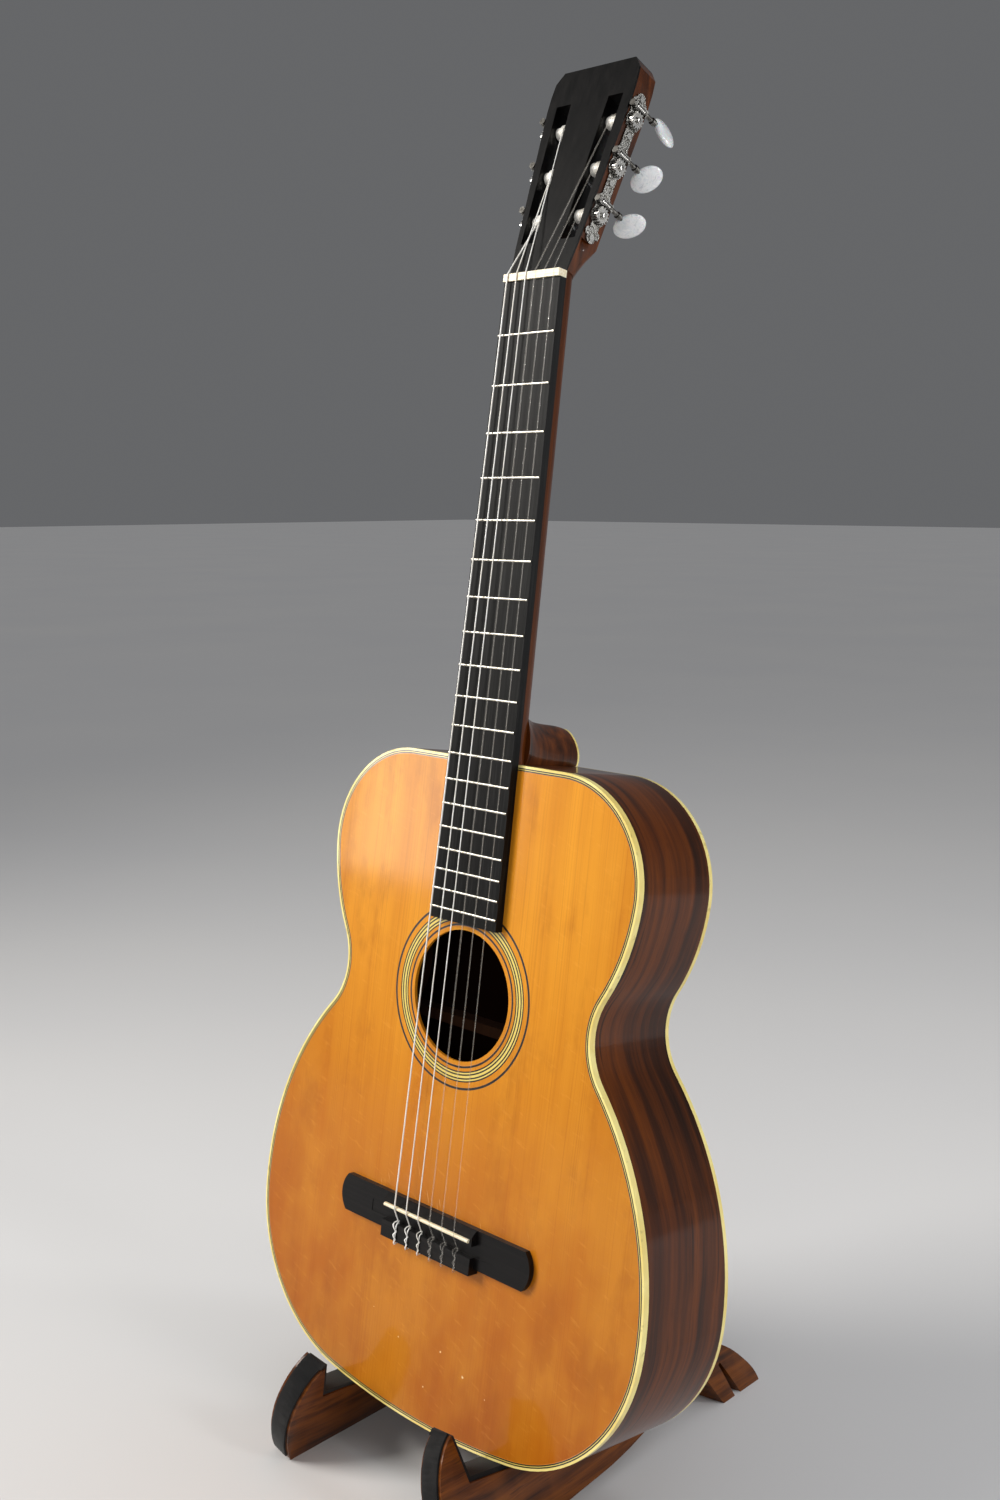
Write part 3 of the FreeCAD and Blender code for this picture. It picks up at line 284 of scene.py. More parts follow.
# %% Floor finish
paper = Finish("floor_paper", Roughness=0.85)
cloud = paper.noise(paper.place(), 1.3, 3)
paper.paint(Base_Color=paper.mix(cloud, colour(205, 205, 207), colour(214, 213, 212)))
floor.data.materials.append(paper.material)
print(paper.material.name, len(paper.tree.nodes), "nodes")

# %% [markdown]
# The soundboard is spruce under old amber lacquer. Two halves of one board are opened like a book, so the
# fine growth lines mirror each other about the centre joint, and lie closer together there. Across them
# runs a faint silk, where the saw crossed the rays. Age turned the lacquer orange. Low down the colour is
# painted darker as painted shade, where the light falls off towards the tail, and it also darkens towards
# the edges. The absolute value of x does the mirroring.

# %% Soundboard finish
top = Finish("aged_spruce", Roughness=0.33, Coat_Weight=0.40, Coat_Roughness=0.10, Coat_IOR=1.45,
             Specular_IOR_Level=0.12)
spot = top.place(GUITAR_TURN, GUITAR_CENTRE)
x, y, z = top.axes(spot)
mirrored = abs(x)
drift = top.noise(top.vector(mirrored * 6, 0, z * 2.2), 1.0, 2) * 0.012
across = mirrored + drift
lines = top.noise(top.vector(across * 820, y * 20, z * 3.0), 1.0, 3, 0.62)
late_wood = top.smooth(lines, 0.48, 0.74)
broad = top.noise(top.vector(across * 42, 0, z * 1.6), 1.0, 4, 0.6)
silk = top.noise(top.vector(across * 60, 0, z * 260 + x * 90), 1.0, 2, 0.7)
cloud = top.noise(top.vector(x * 9, 0, z * 5), 1.0, 4, 0.6)
smoke = top.noise(top.vector(x * 26 + 7, 0, z * 12), 1.0, 4, 0.65)
# painted shade: the base grows darker towards the tail, where the light falls off
painted_shade_low = top.smooth(z, 0.24, -0.13)
to_edge = top.smooth(mirrored, 0.06, 0.19)
base = top.mix(painted_shade_low, colour(224, 150, 36), colour(162, 82, 6))
base = top.mix(to_edge * 0.45, base, colour(158, 80, 4))
base = top.mix(top.smooth(broad, 0.36, 0.66) * 0.45, base, colour(180, 100, 10))
base = top.mix(top.smooth(cloud, 0.42, 0.66) * 0.35, base, colour(226, 156, 46))
base = top.mix(top.smooth(smoke, 0.50, 0.70) * 0.35, base, colour(148, 76, 8))
base = top.mix(late_wood * 0.26, base, colour(150, 70, 8))
base = top.mix(top.smooth(silk, 0.56, 0.78) * 0.15, base, colour(246, 176, 76))
print(top.material.name, len(top.tree.nodes), "nodes")

# %% [markdown]
# Wear is what makes a finish belong to one guitar: a few pale chips near the tail, and short scratches
# where a thumb and fingernails passed above the bridge.
# Each chip is a place in the guitar's millimetres, and its distance is worked out by the shader.

# %% Wear on the top
CHIPS = [(18, -88, 1.1), (41, -97, 1.2), (-24, -93, 0.9),
         (63, -104, 0.8), (5, -118, 1.0), (-52, -81, 0.7)]
chipped = 0.0
for chip_x, chip_z, chip_size in CHIPS:
    away = top.node("ShaderNodeVectorMath", {"operation": "DISTANCE"},
                    {0: spot, 1: (chip_x * MM, 0, chip_z * MM)}, out="Value")
    ragged = away + top.noise(spot, 900, 2) * 0.0012
    chipped = top.smooth(ragged, chip_size * 1.5 * MM, chip_size * 0.9 * MM) + chipped
scratch_lines = top.noise(top.vector(x * 500 + z * 180, 0, z * 45), 1.0, 1)
near_bridge = (top.smooth(z, 0.002, 0.012) * top.smooth(z, 0.042, 0.018)
               * top.smooth(mirrored, 0.098, 0.05))
scratched = top.smooth(scratch_lines, 0.70, 0.76) * near_bridge
base = top.mix(scratched * 0.55, base, colour(244, 190, 120))
base = top.mix(chipped, base, colour(238, 205, 150))
top.paint(Base_Color=base, Roughness=0.30 + cloud * 0.12 + chipped * 0.3)
top.bump(lines * 0.5 + silk * 0.15 - chipped * 3.0, 0.05, 0.55)
dress(top, "soundboard")
print("chips", len(CHIPS))

# %% [markdown]
# Rosewood sides are sawn from one plank and bent over a hot iron, so the figure runs along the rim:
# it changes quickly through the body's depth and slowly along its length. Stretching a noise that way
# gives brown and orange bands between near-black ink lines. The lacquer over it is polished like glass.


# %% Rosewood finishes
def rosewood(name, quick, slow_a, slow_b, bright, painted_inner_shade=False):
    """Rosewood whose figure changes quickly along one axis (0, 1 or 2) of the guitar's."""
    wood = Finish(name, Roughness=0.30, Coat_Weight=0.45, Coat_Roughness=0.03, Coat_IOR=1.45,
                  Specular_IOR_Level=0.08)
    spot = wood.place(GUITAR_TURN, GUITAR_CENTRE)
    parts = wood.axes(spot)
    if quick == 0:
        parts[0] = abs(parts[0])
    others = [parts[k] for k in range(3) if k != quick]
    wave = wood.noise(wood.vector(others[0] * slow_a, others[1] * slow_b, 0), 1.0, 2) * 0.030
    through = parts[quick] + wave
    broad = wood.vector(through * 75, others[0] * slow_a * 0.6, others[1] * slow_b * 0.5)
    bands = wood.noise(broad, 1.0, 5, 0.6)
    ink = wood.noise(wood.vector(through * 190, others[0] * slow_a, others[1] * slow_b), 1.0, 3, 0.55)
    pores = wood.noise(wood.vector(through * 1900, others[0] * 55, others[1] * 55), 1.0, 2, 0.6)
    blush = wood.noise(spot, 9.0, 2)
    brown = colour(82 * bright, 39 * bright, 8 * bright)
    orange = colour(98 * bright, 48 * bright, 9 * bright)
    tone = wood.node("ShaderNodeValToRGB", {"stops": [
        (0.28, colour(28, 13, 5)), (0.42, colour(54, 25, 8)), (0.53, brown), (0.62, orange),
        (0.76, colour(52, 23, 8))]}, {"Fac": bands})
    tone = wood.mix(wood.smooth(ink, 0.60, 0.68) * 0.65, tone, colour(14, 7, 5))
    tone = wood.mix(wood.smooth(blush, 0.5, 0.75) * 0.25, tone, colour(78, 34, 14))
    tone = wood.mix(wood.smooth(pores, 0.60, 0.72) * 0.50, tone, colour(20, 11, 8))
    if painted_inner_shade:
        # painted shade: the face that looks forward into the box, which lies in shade, is painted dark
        facing = wood.node("ShaderNodeNewGeometry", out="Normal")
        _, rearward, _ = wood.axes(facing)
        tone = wood.mix(rearward < 0.0, tone, colour(30, 15, 9))
    wood.paint(Base_Color=tone, Roughness=0.22 + pores * 0.2)
    wood.bump(pores, 0.03, 0.35)
    return wood


rim_wood = rosewood("rosewood_sides", 1, 5.0, 7.0, 1.0)
back_wood = rosewood("rosewood_back", 0, 9.0, 3.0, 1.05, painted_inner_shade=True)
dress(rim_wood, "side_treble", "side_bass")
dress(back_wood, "back")
print(rim_wood.material.name, back_wood.material.name, len(rim_wood.tree.nodes), "nodes")

# %% [markdown]
# The binding guards the edges where top and back meet the sides. It is cream plastic that has yellowed,
# a little more in some places, with a faint scraper chatter along it. The heel's cap is cut from the same.

# %% Binding finish
binding = Finish("cream_binding", Roughness=0.3, Coat_Weight=0.8, Coat_Roughness=0.06)
spot = binding.place()
stain = binding.noise(spot, 22, 3, 0.6)
grime = binding.noise(spot, 160, 2, 0.6)
tone = binding.mix(binding.smooth(stain, 0.35, 0.7), colour(248, 232, 150), colour(230, 204, 108))
tone = binding.mix(binding.smooth(grime, 0.62, 0.74) * 0.35, tone, colour(150, 126, 60))
binding.paint(Base_Color=tone, Roughness=0.26 + stain * 0.2)
binding.bump(grime, 0.02, 0.3)
dress(binding, "binding_front", "binding_back", "heel_cap")
print(binding.material.name, len(binding.tree.nodes), "nodes")

# %% [markdown]
# The rosette is three rings of dyed veneer let into the top round the soundhole. Only the distance from
# the hole's centre matters, so the finish measures that and lays down dark and pale lines at the radii
# of the real inlay.

# %% Rosette finish
rosette = Finish("rosette_inlay", Roughness=0.3, Coat_Weight=0.75, Coat_Roughness=0.08)
spot = rosette.place(GUITAR_TURN, tuple(on_guitar(*HOLE_CENTRE)))
x, y, z = rosette.axes(spot)
radius = rosette.node("ShaderNodeVectorMath", {"operation": "LENGTH"},
                      {0: rosette.vector(x, 0, z)}, out="Value") / MM
fibre = rosette.noise(spot, 420, 2, 0.7)
tone = rosette.mix(fibre, colour(214, 140, 58), colour(198, 120, 44))
EDGE_BLUR = 0.08
CREAM_LINES = [(52.9, 53.9), (54.9, 56.5), (57.5, 58.5)]
DARK_LINES = [(48.4, 49.8), (51.9, 52.9), (53.9, 54.9), (56.5, 57.5), (58.5, 59.5), (63.2, 64.8)]
INLAYS = ((CREAM_LINES, (236, 216, 116), (212, 184, 84)), (DARK_LINES, (14, 20, 9), (6, 9, 5)))
for ring_set, light, dark in INLAYS:
    inlay = rosette.mix(fibre, colour(*light), colour(*dark))
    for inner, outer in ring_set:
        inside = (rosette.smooth(radius, inner - EDGE_BLUR, inner + EDGE_BLUR)
                  * rosette.smooth(radius, outer + EDGE_BLUR, outer - EDGE_BLUR))
        tone = rosette.mix(inside, tone, inlay)
rosette.paint(Base_Color=tone, Roughness=0.28 + fibre * 0.1)
rosette.bump(fibre, 0.02, 0.3)
dress(rosette, "rosette")
print("rosette lines", len(CREAM_LINES), "cream", len(DARK_LINES), "dark")

# %% [markdown]
# The neck is mahogany: red-brown, with short dark pores that follow the length. The headstock's face is
# a black veneer, polished, with the grain just showing. Fingerboard and bridge are ebony, which is never
# quite black either: grey-brown streaks run along it, and fingers keep it satin.


# %% Long-grained dark woods
def long_grain(name, dark, mid, light, streak, pore, shine, coat, axis=2, dark_slot_walls=False, gloss=0.25):
    """Wood whose grain runs along one of the guitar's axes: up the neck, or across for the bridge."""
    wood = Finish(name, Roughness=shine, Coat_Weight=coat, Coat_Roughness=0.08, Specular_IOR_Level=gloss)
    spot = wood.place(GUITAR_TURN, GUITAR_CENTRE)
    parts = wood.axes(spot)
    fine = [part * (streak * 0.03 if k == axis else streak) for k, part in enumerate(parts)]
    grain = wood.noise(wood.vector(*fine), 1.0, 4, 0.6)
    tiny = [part * (60 if k == axis else pore) for k, part in enumerate(parts)]
    pores = wood.noise(wood.vector(*tiny), 1.0, 2, 0.6)
    tone = wood.node("ShaderNodeValToRGB", {"stops": [(0.32, dark), (0.52, mid), (0.72, light)]},
                     {"Fac": grain})
    tone = wood.mix(wood.smooth(pores, 0.60, 0.72) * 0.55, tone, dark)
    if dark_slot_walls:
        # the walls of the headstock's two slots are coloured near-black
        head = wood.place((HEAD_LEAN - LEAN, 0, 0), tuple(on_guitar(*HEAD_START)))
        across, _, rise = wood.axes(head)
        _, backward, _ = wood.axes(wood.node("ShaderNodeNewGeometry", out="Normal"))
        between = (abs(across) < rise * 0.07 + 0.0235) * (rise > 0.020)
        tone = wood.mix(between * (backward < 0.7), tone, colour(7, 6, 6))
    wood.paint(Base_Color=tone, Roughness=shine + grain * 0.15)
    wood.bump(grain * 0.4 - wood.smooth(pores, 0.58, 0.70), 0.04, 0.45)
    return wood


HEAD_LEAN = math.radians(14.5)
HEAD_START = Vector((0, 0, 655.0))
mahogany = long_grain("neck_mahogany", colour(34, 14, 4), colour(78, 37, 10), colour(106, 54, 17),
                      130, 1500, 0.30, 0.45, dark_slot_walls=True, gloss=0.1)
ebony = long_grain("ebony", colour(5, 5, 5), colour(13, 13, 13), colour(34, 34, 34),
                   620, 2200, 0.45, 0.0, gloss=0.13)
bridge_ebony = long_grain("bridge_ebony", colour(5, 4, 4), colour(12, 10, 10), colour(26, 22, 20),
                          380, 1800, 0.36, 0.12, axis=0, gloss=0.15)
veneer = long_grain("black_veneer", colour(2, 2, 2), colour(6, 5, 5), colour(13, 11, 10),
                    240, 1600, 0.30, 0.15, gloss=0.1)
dress(mahogany, "neck")
dress(ebony, "fingerboard")
dress(bridge_ebony, "bridge")
dress(veneer, "head_veneer")
print("dark woods", [wood.material.name for wood in (mahogany, ebony, bridge_ebony, veneer)])

# %% [markdown]
# Inside the box the wood is bare: braces, end blocks, and the kerfed linings with their row of saw cuts.
# It is seen only through the soundhole, and its brown is painted dark as painted shade inside the box.

# %% Bare wood inside
bare = Finish("inside_wood", Roughness=0.8)
spot = bare.place(GUITAR_TURN, GUITAR_CENTRE)
x, y, z = bare.axes(spot)
fibre = bare.noise(bare.vector(x * 300, y * 300, z * 25), 1.0, 3)
# painted shade: both browns are kept dark for the shade inside the box
bare.paint(Base_Color=bare.mix(fibre, colour(66, 36, 17), colour(98, 58, 29)))
bare.bump(fibre, 0.06, 0.5)
dress(bare, "neck_block", "tail_block", "kerfed_linings", "top_braces", "back_braces")
print(bare.material.name, len(bare.tree.nodes), "nodes")

# %% [markdown]
# Bone for nut and saddle: warm white, denser streaks, worn smooth under the strings.

# %% Bone finish
bone = Finish("bone", Roughness=0.35, Subsurface_Weight=0.08, Subsurface_Scale=0.002)
spot = bone.place()
x, y, z = bone.axes(spot)
streaks = bone.noise(bone.vector(x * 60, y * 700, z * 700), 1.0, 3)
tone = bone.mix(bone.smooth(streaks, 0.35, 0.7), colour(240, 230, 204), colour(222, 204, 162))
bone.paint(Base_Color=tone, Roughness=0.30 + streaks * 0.2)
bone.bump(streaks, 0.02, 0.3)
dress(bone, "nut", "saddle")
print(bone.material.name, len(bone.tree.nodes), "nodes")

# %% [markdown]
# The metals differ by polish. Frets are nickel silver, rubbed bright by the strings, and the keys' worms
# are darker, oiled steel. The tuner plates are nickel with engraved scrolls, black in the cuts. The
# scrolls are rings round scattered centres: a cell pattern's distance, folded by a sine, makes curling
# lines like an engraver's.


# %% Metal finishes
def metal(name, tone, worn, shine, scale, engraved=False):
    made = Finish(name, Metallic=1.0, Roughness=shine)
    spot = made.place()
    haze = made.noise(spot, scale, 3, 0.6)
    fine = made.noise(spot, scale * 9, 2, 0.6)
    surface = made.mix(made.smooth(haze, 0.38, 0.72), tone, worn)
    height = fine * 0.15
    if engraved:
        bent = made.noise(spot, 260, 1) * 0.0016
        curl = made.cells(spot, 210)
        cut = made.maths("SINE", curl * 19 + bent * 3000)
        groove = made.smooth(cut, 0.30, 0.85)
        surface = made.mix(groove * 0.85, surface, colour(44, 42, 38))
        height = height - groove
    made.paint(Base_Color=surface, Roughness=shine + haze * 0.18)
    made.bump(height, 0.08 if engraved else 0.01, 0.8 if engraved else 0.3)
    return made


nickel = metal("polished_nickel", colour(200, 199, 196), colour(148, 146, 140), 0.12, 420)
dark_steel = metal("dark_steel", colour(112, 110, 106), colour(70, 68, 64), 0.26, 420)
engraved = metal("engraved_nickel", colour(172, 171, 167), colour(112, 110, 104), 0.14, 300, engraved=True)
fret_metal = metal("nickel_silver", colour(196, 192, 182), colour(150, 144, 132), 0.16, 500)
brass = metal("hinge_brass", colour(176, 140, 78), colour(116, 86, 44), 0.34, 160)
dress(engraved, "plate_treble", "plate_bass")
STRING_NUMBERS = range(1, 7)
dress(nickel, "plate_screws", *["gear_%d" % n for n in STRING_NUMBERS])
dress(dark_steel, *["key_%d" % n for n in STRING_NUMBERS])
dress(fret_metal, "frets")
dress(brass, "hinge_leaf_treble", "hinge_leaf_bass", "hinge_screws_treble", "hinge_screws_bass",
      "hinge_pin")
print("metals", [made.material.name for made in (nickel, dark_steel, engraved, fret_metal, brass)])

# %% [markdown]
# The three bass strings are silk wound with silvered copper wire, which scatters the light and looks
# white. The trebles are clear nylon, and let most of what lies behind them through. The wire's turns are
# rings along the string, so a wave that climbs the neck makes their ridges.

# %% String finishes
wound = Finish("wound_string", Metallic=0.25, Roughness=0.34)
x, y, z = wound.axes(wound.place(GUITAR_TURN, GUITAR_CENTRE))
turns = wound.maths("SINE", z * 14000 + x * 4000)
tarnish = wound.noise(wound.vector(x * 200, y * 200, z * 30), 1.0, 3)
tone = wound.mix(wound.smooth(tarnish, 0.4, 0.7), colour(252, 251, 248), colour(236, 232, 222))
wound.paint(Base_Color=tone, Roughness=0.28 + tarnish * 0.2)
wound.bump(turns, 0.04, 0.6)
nylon = Finish("nylon_string", Roughness=0.14, IOR=1.53, Transmission_Weight=0.45, Alpha=0.20)
x, y, z = nylon.axes(nylon.place(GUITAR_TURN, GUITAR_CENTRE))
cloudy = nylon.noise(nylon.vector(x * 300, y * 300, z * 20), 1.0, 2)
tone = nylon.mix(cloudy, colour(222, 216, 204), colour(244, 240, 232))
nylon.paint(Base_Color=tone, Roughness=0.12 + cloudy * 0.1)
dress(wound, "wound_strings")
dress(nylon, "nylon_strings")
print("strings", wound.material.name, nylon.material.name)

# %% [markdown]
# Rollers are white plastic on steel, and the buttons imitate mother of pearl: milky plastic stirred so
# that sheets of it catch the light differently. A noise that bends another noise gives those curtains.

# %% Plastic finishes
white = Finish("roller_white", Roughness=0.32, Coat_Weight=0.3)
speck = white.noise(white.place(), 300, 3)
tone = white.mix(speck, colour(250, 248, 242), colour(232, 228, 218))
white.paint(Base_Color=tone, Roughness=0.28 + speck * 0.2)
dress(white, *["roller_%d" % n for n in STRING_NUMBERS])

pearl = Finish("pearl_button", Roughness=0.22, Coat_Weight=1.0, Coat_Roughness=0.05,
               Subsurface_Weight=0.15, Subsurface_Scale=0.003)
spot = pearl.place()
stir = pearl.noise(spot, 70, 2) * 0.05
x, y, z = pearl.axes(spot)
curtain = pearl.noise(pearl.vector(x + stir, y + stir, z - stir), 190, 4, 0.65)
glint = pearl.cells(pearl.vector(x + stir, y, z + stir), 240)
tone = pearl.node("ShaderNodeValToRGB", {"stops": [
    (0.34, colour(196, 202, 208)), (0.46, colour(240, 242, 243)), (0.58, colour(214, 220, 226)),
    (0.70, colour(250, 250, 248))]}, {"Fac": curtain})
tone = pearl.mix(pearl.smooth(glint, 0.25, 0.6) * 0.25, tone, colour(250, 250, 248))
pearl.paint(Base_Color=tone, Roughness=0.16 + curtain * 0.2)
pearl.bump(curtain, 0.03, 0.3)
dress(pearl, *["button_%d" % n for n in STRING_NUMBERS])
print("plastics", white.material.name, pearl.material.name)

# %% [markdown]
# The stand's planks are a red-brown hardwood, oiled and rubbed, with long grain from front foot to rear.
# Each plank leans against the other, so its pattern is turned by the same angle, one way on each side.
# The pads are black rubber with a fine pebble and some dust.


# %% Stand finishes
STAND_LEAN = math.radians(19.46)


def plank_wood(name, side):
    """Oiled hardwood with its grain along the plank; side is -1 for bass, 1 for treble."""
    wood = Finish(name, Roughness=0.34, Coat_Weight=0.28, Coat_Roughness=0.12, Specular_IOR_Level=0.1)
    spot = wood.place((0, -side * STAND_LEAN, 0))
    x, y, z = wood.axes(spot)
    bend = wood.noise(wood.vector(x * 4, y * 5, z * 9), 1.0, 2) * 0.035
    grain = wood.noise(wood.vector((x + bend) * 110, y * 5.5, (z + bend) * 150), 1.0, 4, 0.6)
    pores = wood.noise(wood.vector(x * 900, y * 45, z * 900), 1.0, 2, 0.6)
    ribbon = wood.noise(wood.vector(x * 8, y * 38, z * 5), 1.0, 2)
    tone = wood.node("ShaderNodeValToRGB", {"stops": [
        (0.32, colour(48, 22, 6)), (0.48, colour(84, 42, 10)), (0.62, colour(112, 60, 15)),
        (0.76, colour(68, 33, 8))]}, {"Fac": grain})
    tone = wood.mix(wood.smooth(ribbon, 0.45, 0.7) * 0.3, tone, colour(120, 66, 20))
    tone = wood.mix(wood.smooth(pores, 0.60, 0.72) * 0.6, tone, colour(44, 20, 10))
    wood.paint(Base_Color=tone, Roughness=0.30 + grain * 0.18)
    wood.bump(grain * 0.3 - wood.smooth(pores, 0.58, 0.70), 0.05, 0.5)
    return wood


rubber = Finish("black_rubber", Roughness=0.85, Sheen_Weight=0.10, Sheen_Roughness=0.5,
                Specular_IOR_Level=0.2)
spot = rubber.place()
dust = rubber.noise(spot, 60, 3, 0.6)
pebble = rubber.cells(spot, 1500)
tone = rubber.mix(rubber.smooth(dust, 0.4, 0.75), colour(12, 12, 13), colour(32, 31, 31))
rubber.paint(Base_Color=tone, Roughness=0.75 + dust * 0.2)
rubber.bump(pebble, 0.10, 0.5)
print(rubber.material.name, len(rubber.tree.nodes), "nodes")

# %% [markdown]
# A CAD plank has knife-sharp edges, and no woodworker leaves those: a router bit rounds them, and the
# round catches the long highlight that shows the plank's thickness. The CAD mesh itself is never touched,
# so a copy is welded, its flat faces are cleared of needless triangles, and a Bevel modifier turns the
# sharp edges. The same is done to the rubber pads with a much smaller radius.


# %% Rounded copies
def rounded_copy(node, name, radius_mm, segments, finish, body, angle=38):
    """A copy of a CAD node with its edges rounded, which stands for that node."""
    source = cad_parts[node]
    piece = bpy.data.objects.new(name, source.data.copy())
    scene.collection.objects.link(piece)
    bpy.ops.object.select_all(action="DESELECT")
    piece.select_set(True)
    bpy.context.view_layer.objects.active = piece
    piece.data.materials.clear()
    piece.data.materials.append(finish.material)
    bpy.ops.object.mode_set(mode="EDIT")
    bpy.ops.mesh.select_all(action="SELECT")
    bpy.ops.mesh.remove_doubles(threshold=0.00002)
    bpy.ops.mesh.customdata_custom_splitnormals_clear()
    bpy.ops.mesh.dissolve_limited(angle_limit=math.radians(0.7))
    bpy.ops.object.mode_set(mode="OBJECT")
    bevel = piece.modifiers.new("rounding", "BEVEL")
    bevel.width = radius_mm * MM
    bevel.segments = segments
    bevel.limit_method = "ANGLE"
    bevel.angle_limit = math.radians(angle)
    bevel.use_clamp_overlap = True
    bpy.ops.object.modifier_apply(modifier=bevel.name)
    bpy.ops.object.shade_smooth_by_angle(angle=math.radians(30))
    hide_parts(node)
    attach(piece, body)
    print(name, len(piece.data.polygons), "faces")
    return piece


PLANK_ROUNDING = 3.2
PAD_ROUNDING = 0.5
for side, word in ((-1, "bass"), (1, "treble")):
    wood = plank_wood("stand_wood_" + word, side)
    body = "stand_" + word
    rounded_copy("board_" + word, "plank_" + word, PLANK_ROUNDING, 4, wood, body)
    rounded_copy("pad_" + word, "rubber_pad_" + word, PAD_ROUNDING, 2, rubber, body)

# %% [markdown]
# Purfling is a sandwich of thin dark and pale veneers that follows the outline just inside the binding.
# Its lines run along the band, whatever way the band curves, so the finish needs to know how far across
# the band each point is. That distance from the binding is measured once and stored on the mesh.

# %% Purfling
purfling = bpy.data.objects.new("purfling_lines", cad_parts["purfling"].data.copy())
scene.collection.objects.link(purfling)
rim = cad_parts["binding_front"].data
tree = BVHTree.FromPolygons([v.co for v in rim.vertices], [list(p.vertices) for p in rim.polygons])
distances = [tree.find_nearest(v.co)[3] / MM for v in purfling.data.vertices]
store = purfling.data.attributes.new("across", "FLOAT", "POINT")
store.data.foreach_set("value", distances)
lines = Finish("purfling_lines", Roughness=0.3, Coat_Weight=0.75, Coat_Roughness=0.08)
across = lines.node("ShaderNodeAttribute", {"attribute_name": "across"}, out="Fac")
fibre = lines.noise(lines.place(), 500, 2)
tone = lines.mix(fibre, colour(236, 216, 120), colour(214, 186, 90))
dark = lines.mix(fibre, colour(12, 16, 9), colour(5, 7, 4))
DARK_VENEERS = ((0.0, 0.85), (1.35, 2.20))
VENEER_BLUR = 0.05
for inner, outer in DARK_VENEERS:
    inside = (lines.smooth(across, inner - VENEER_BLUR, inner + VENEER_BLUR)
              * lines.smooth(across, outer + VENEER_BLUR, outer - VENEER_BLUR))
    tone = lines.mix(inside, tone, dark)
bare_spruce = lines.mix(fibre, colour(206, 120, 30), colour(190, 100, 20))
tone = lines.mix(lines.smooth(across, 2.22, 2.30), tone, bare_spruce)
lines.paint(Base_Color=tone, Roughness=0.28 + fibre * 0.1)
lines.bump(fibre, 0.02, 0.3)
purfling.data.materials.clear()
purfling.data.materials.append(lines.material)
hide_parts("purfling")
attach(purfling, "guitar")
print("purfling distances", round(min(distances), 2), round(max(distances), 2))

# %% [markdown]
# At the bridge each string comes out behind the tie block, turns back over it, passes round itself in
# front of the block and is tucked under its own loop two or three times. A curve with a round bevel is
# the natural way to bend a string. It is made a mesh before it is placed, like every finished piece.

# %% Strings tied at the bridge
BRIDGE_STRINGS = [-29.5, -17.7, -5.9, 5.9, 17.7, 29.5]
STRING_RADIUS = [0.55, 0.46, 0.40, 0.51, 0.42, 0.36]


def bent_string(name, points, radius_mm, finish, body):
    """A string along a smooth curve through the guitar's millimetres."""
    line = bpy.data.curves.new(name, "CURVE")
    line.dimensions = "3D"
    line.bevel_depth = radius_mm * MM
    line.bevel_resolution = 2
    line.resolution_u = 5
    line.use_fill_caps = True
    spline = line.splines.new("NURBS")
    spline.points.add(len(points) - 1)
    for point, place in zip(spline.points, points):
        point.co = (*on_guitar(*place), 1)
    spline.order_u = 3
    spline.use_endpoint_u = True
    piece = bpy.data.objects.new(name, line)
    scene.collection.objects.link(piece)
    bpy.ops.object.select_all(action="DESELECT")
    piece.select_set(True)
    bpy.context.view_layer.objects.active = piece
    bpy.ops.object.convert(target="MESH")
    piece = bpy.context.object
    piece.data.materials.clear()
    piece.data.materials.append(finish.material)
    bpy.ops.object.shade_smooth()
    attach(piece, body)
    return piece


BLOCK_TOP = -9.2
WOUND_COUNT = 3
for k, (x, r) in enumerate(zip(BRIDGE_STRINGS, STRING_RADIUS)):
    deep = BLOCK_TOP - r - 0.05
    over = BLOCK_TOP - 3.2 * r
    out_and_back = [(x, -6.2, -24.0), (x + 0.1, -6.6, -25.6), (x + 0.5, deep, -25.2),
                    (x + 0.9, deep, -22.0), (x + 1.0, deep, -16.0), (x + 1.1, deep, -11.6)]
    round_itself = [(x + 1.2, -8.2, -10.2), (x + 0.3, -6.0, -9.3), (x - 1.2, -6.8, -9.6),
                    (x - 1.1, -9.8 - r, -10.6)]
    tucked = [(x - 0.6, over, -12.6), (x + 1.2, over, -14.4), (x + 2.1, deep, -15.8),
              (x + 1.0, deep + 0.1, -17.0), (x - 0.3, over, -18.4), (x + 1.3, over, -20.2),
              (x + 2.0, deep, -21.6), (x + 0.6, deep, -23.2), (x - 0.6, -9.0, -24.8),
              (x - 1.3, -7.4, -26.6)]
    knot = out_and_back + round_itself + tucked
    wire = k < WOUND_COUNT
    bent_string("knot_%d" % (6 - k), knot, r * 0.96, wound if wire else nylon, "guitar")
print("knots", len(BRIDGE_STRINGS))

# %% [markdown]
# On the headstock each string winds round its own roller and turns with it. One turn of a spring is a
# small circle screwed about the roller's axis, so the Screw modifier makes the whole winding. The circle
# starts where the string meets the roller in front, goes over the roller and on round behind it.

# %% String windings
HEAD_UP = Vector((0, math.sin(HEAD_LEAN), math.cos(HEAD_LEAN)))
HEAD_IN = Vector((0, math.cos(HEAD_LEAN), -math.sin(HEAD_LEAN)))
HEAD_HALF_WIDTH = 26.65
HEAD_FLARE = 0.0906
SIDE_TILT = math.atan(HEAD_FLARE)
SLOT_INSET = 9.65
SLOT_FLARE = 0.0406
ROLLER_DEPTH = 7.6
SLEEVE_RADIUS = 4.7
TUNERS = [(1, 1, 44), (2, 1, 79), (3, 1, 114), (4, -1, 114), (5, -1, 79), (6, -1, 44)]


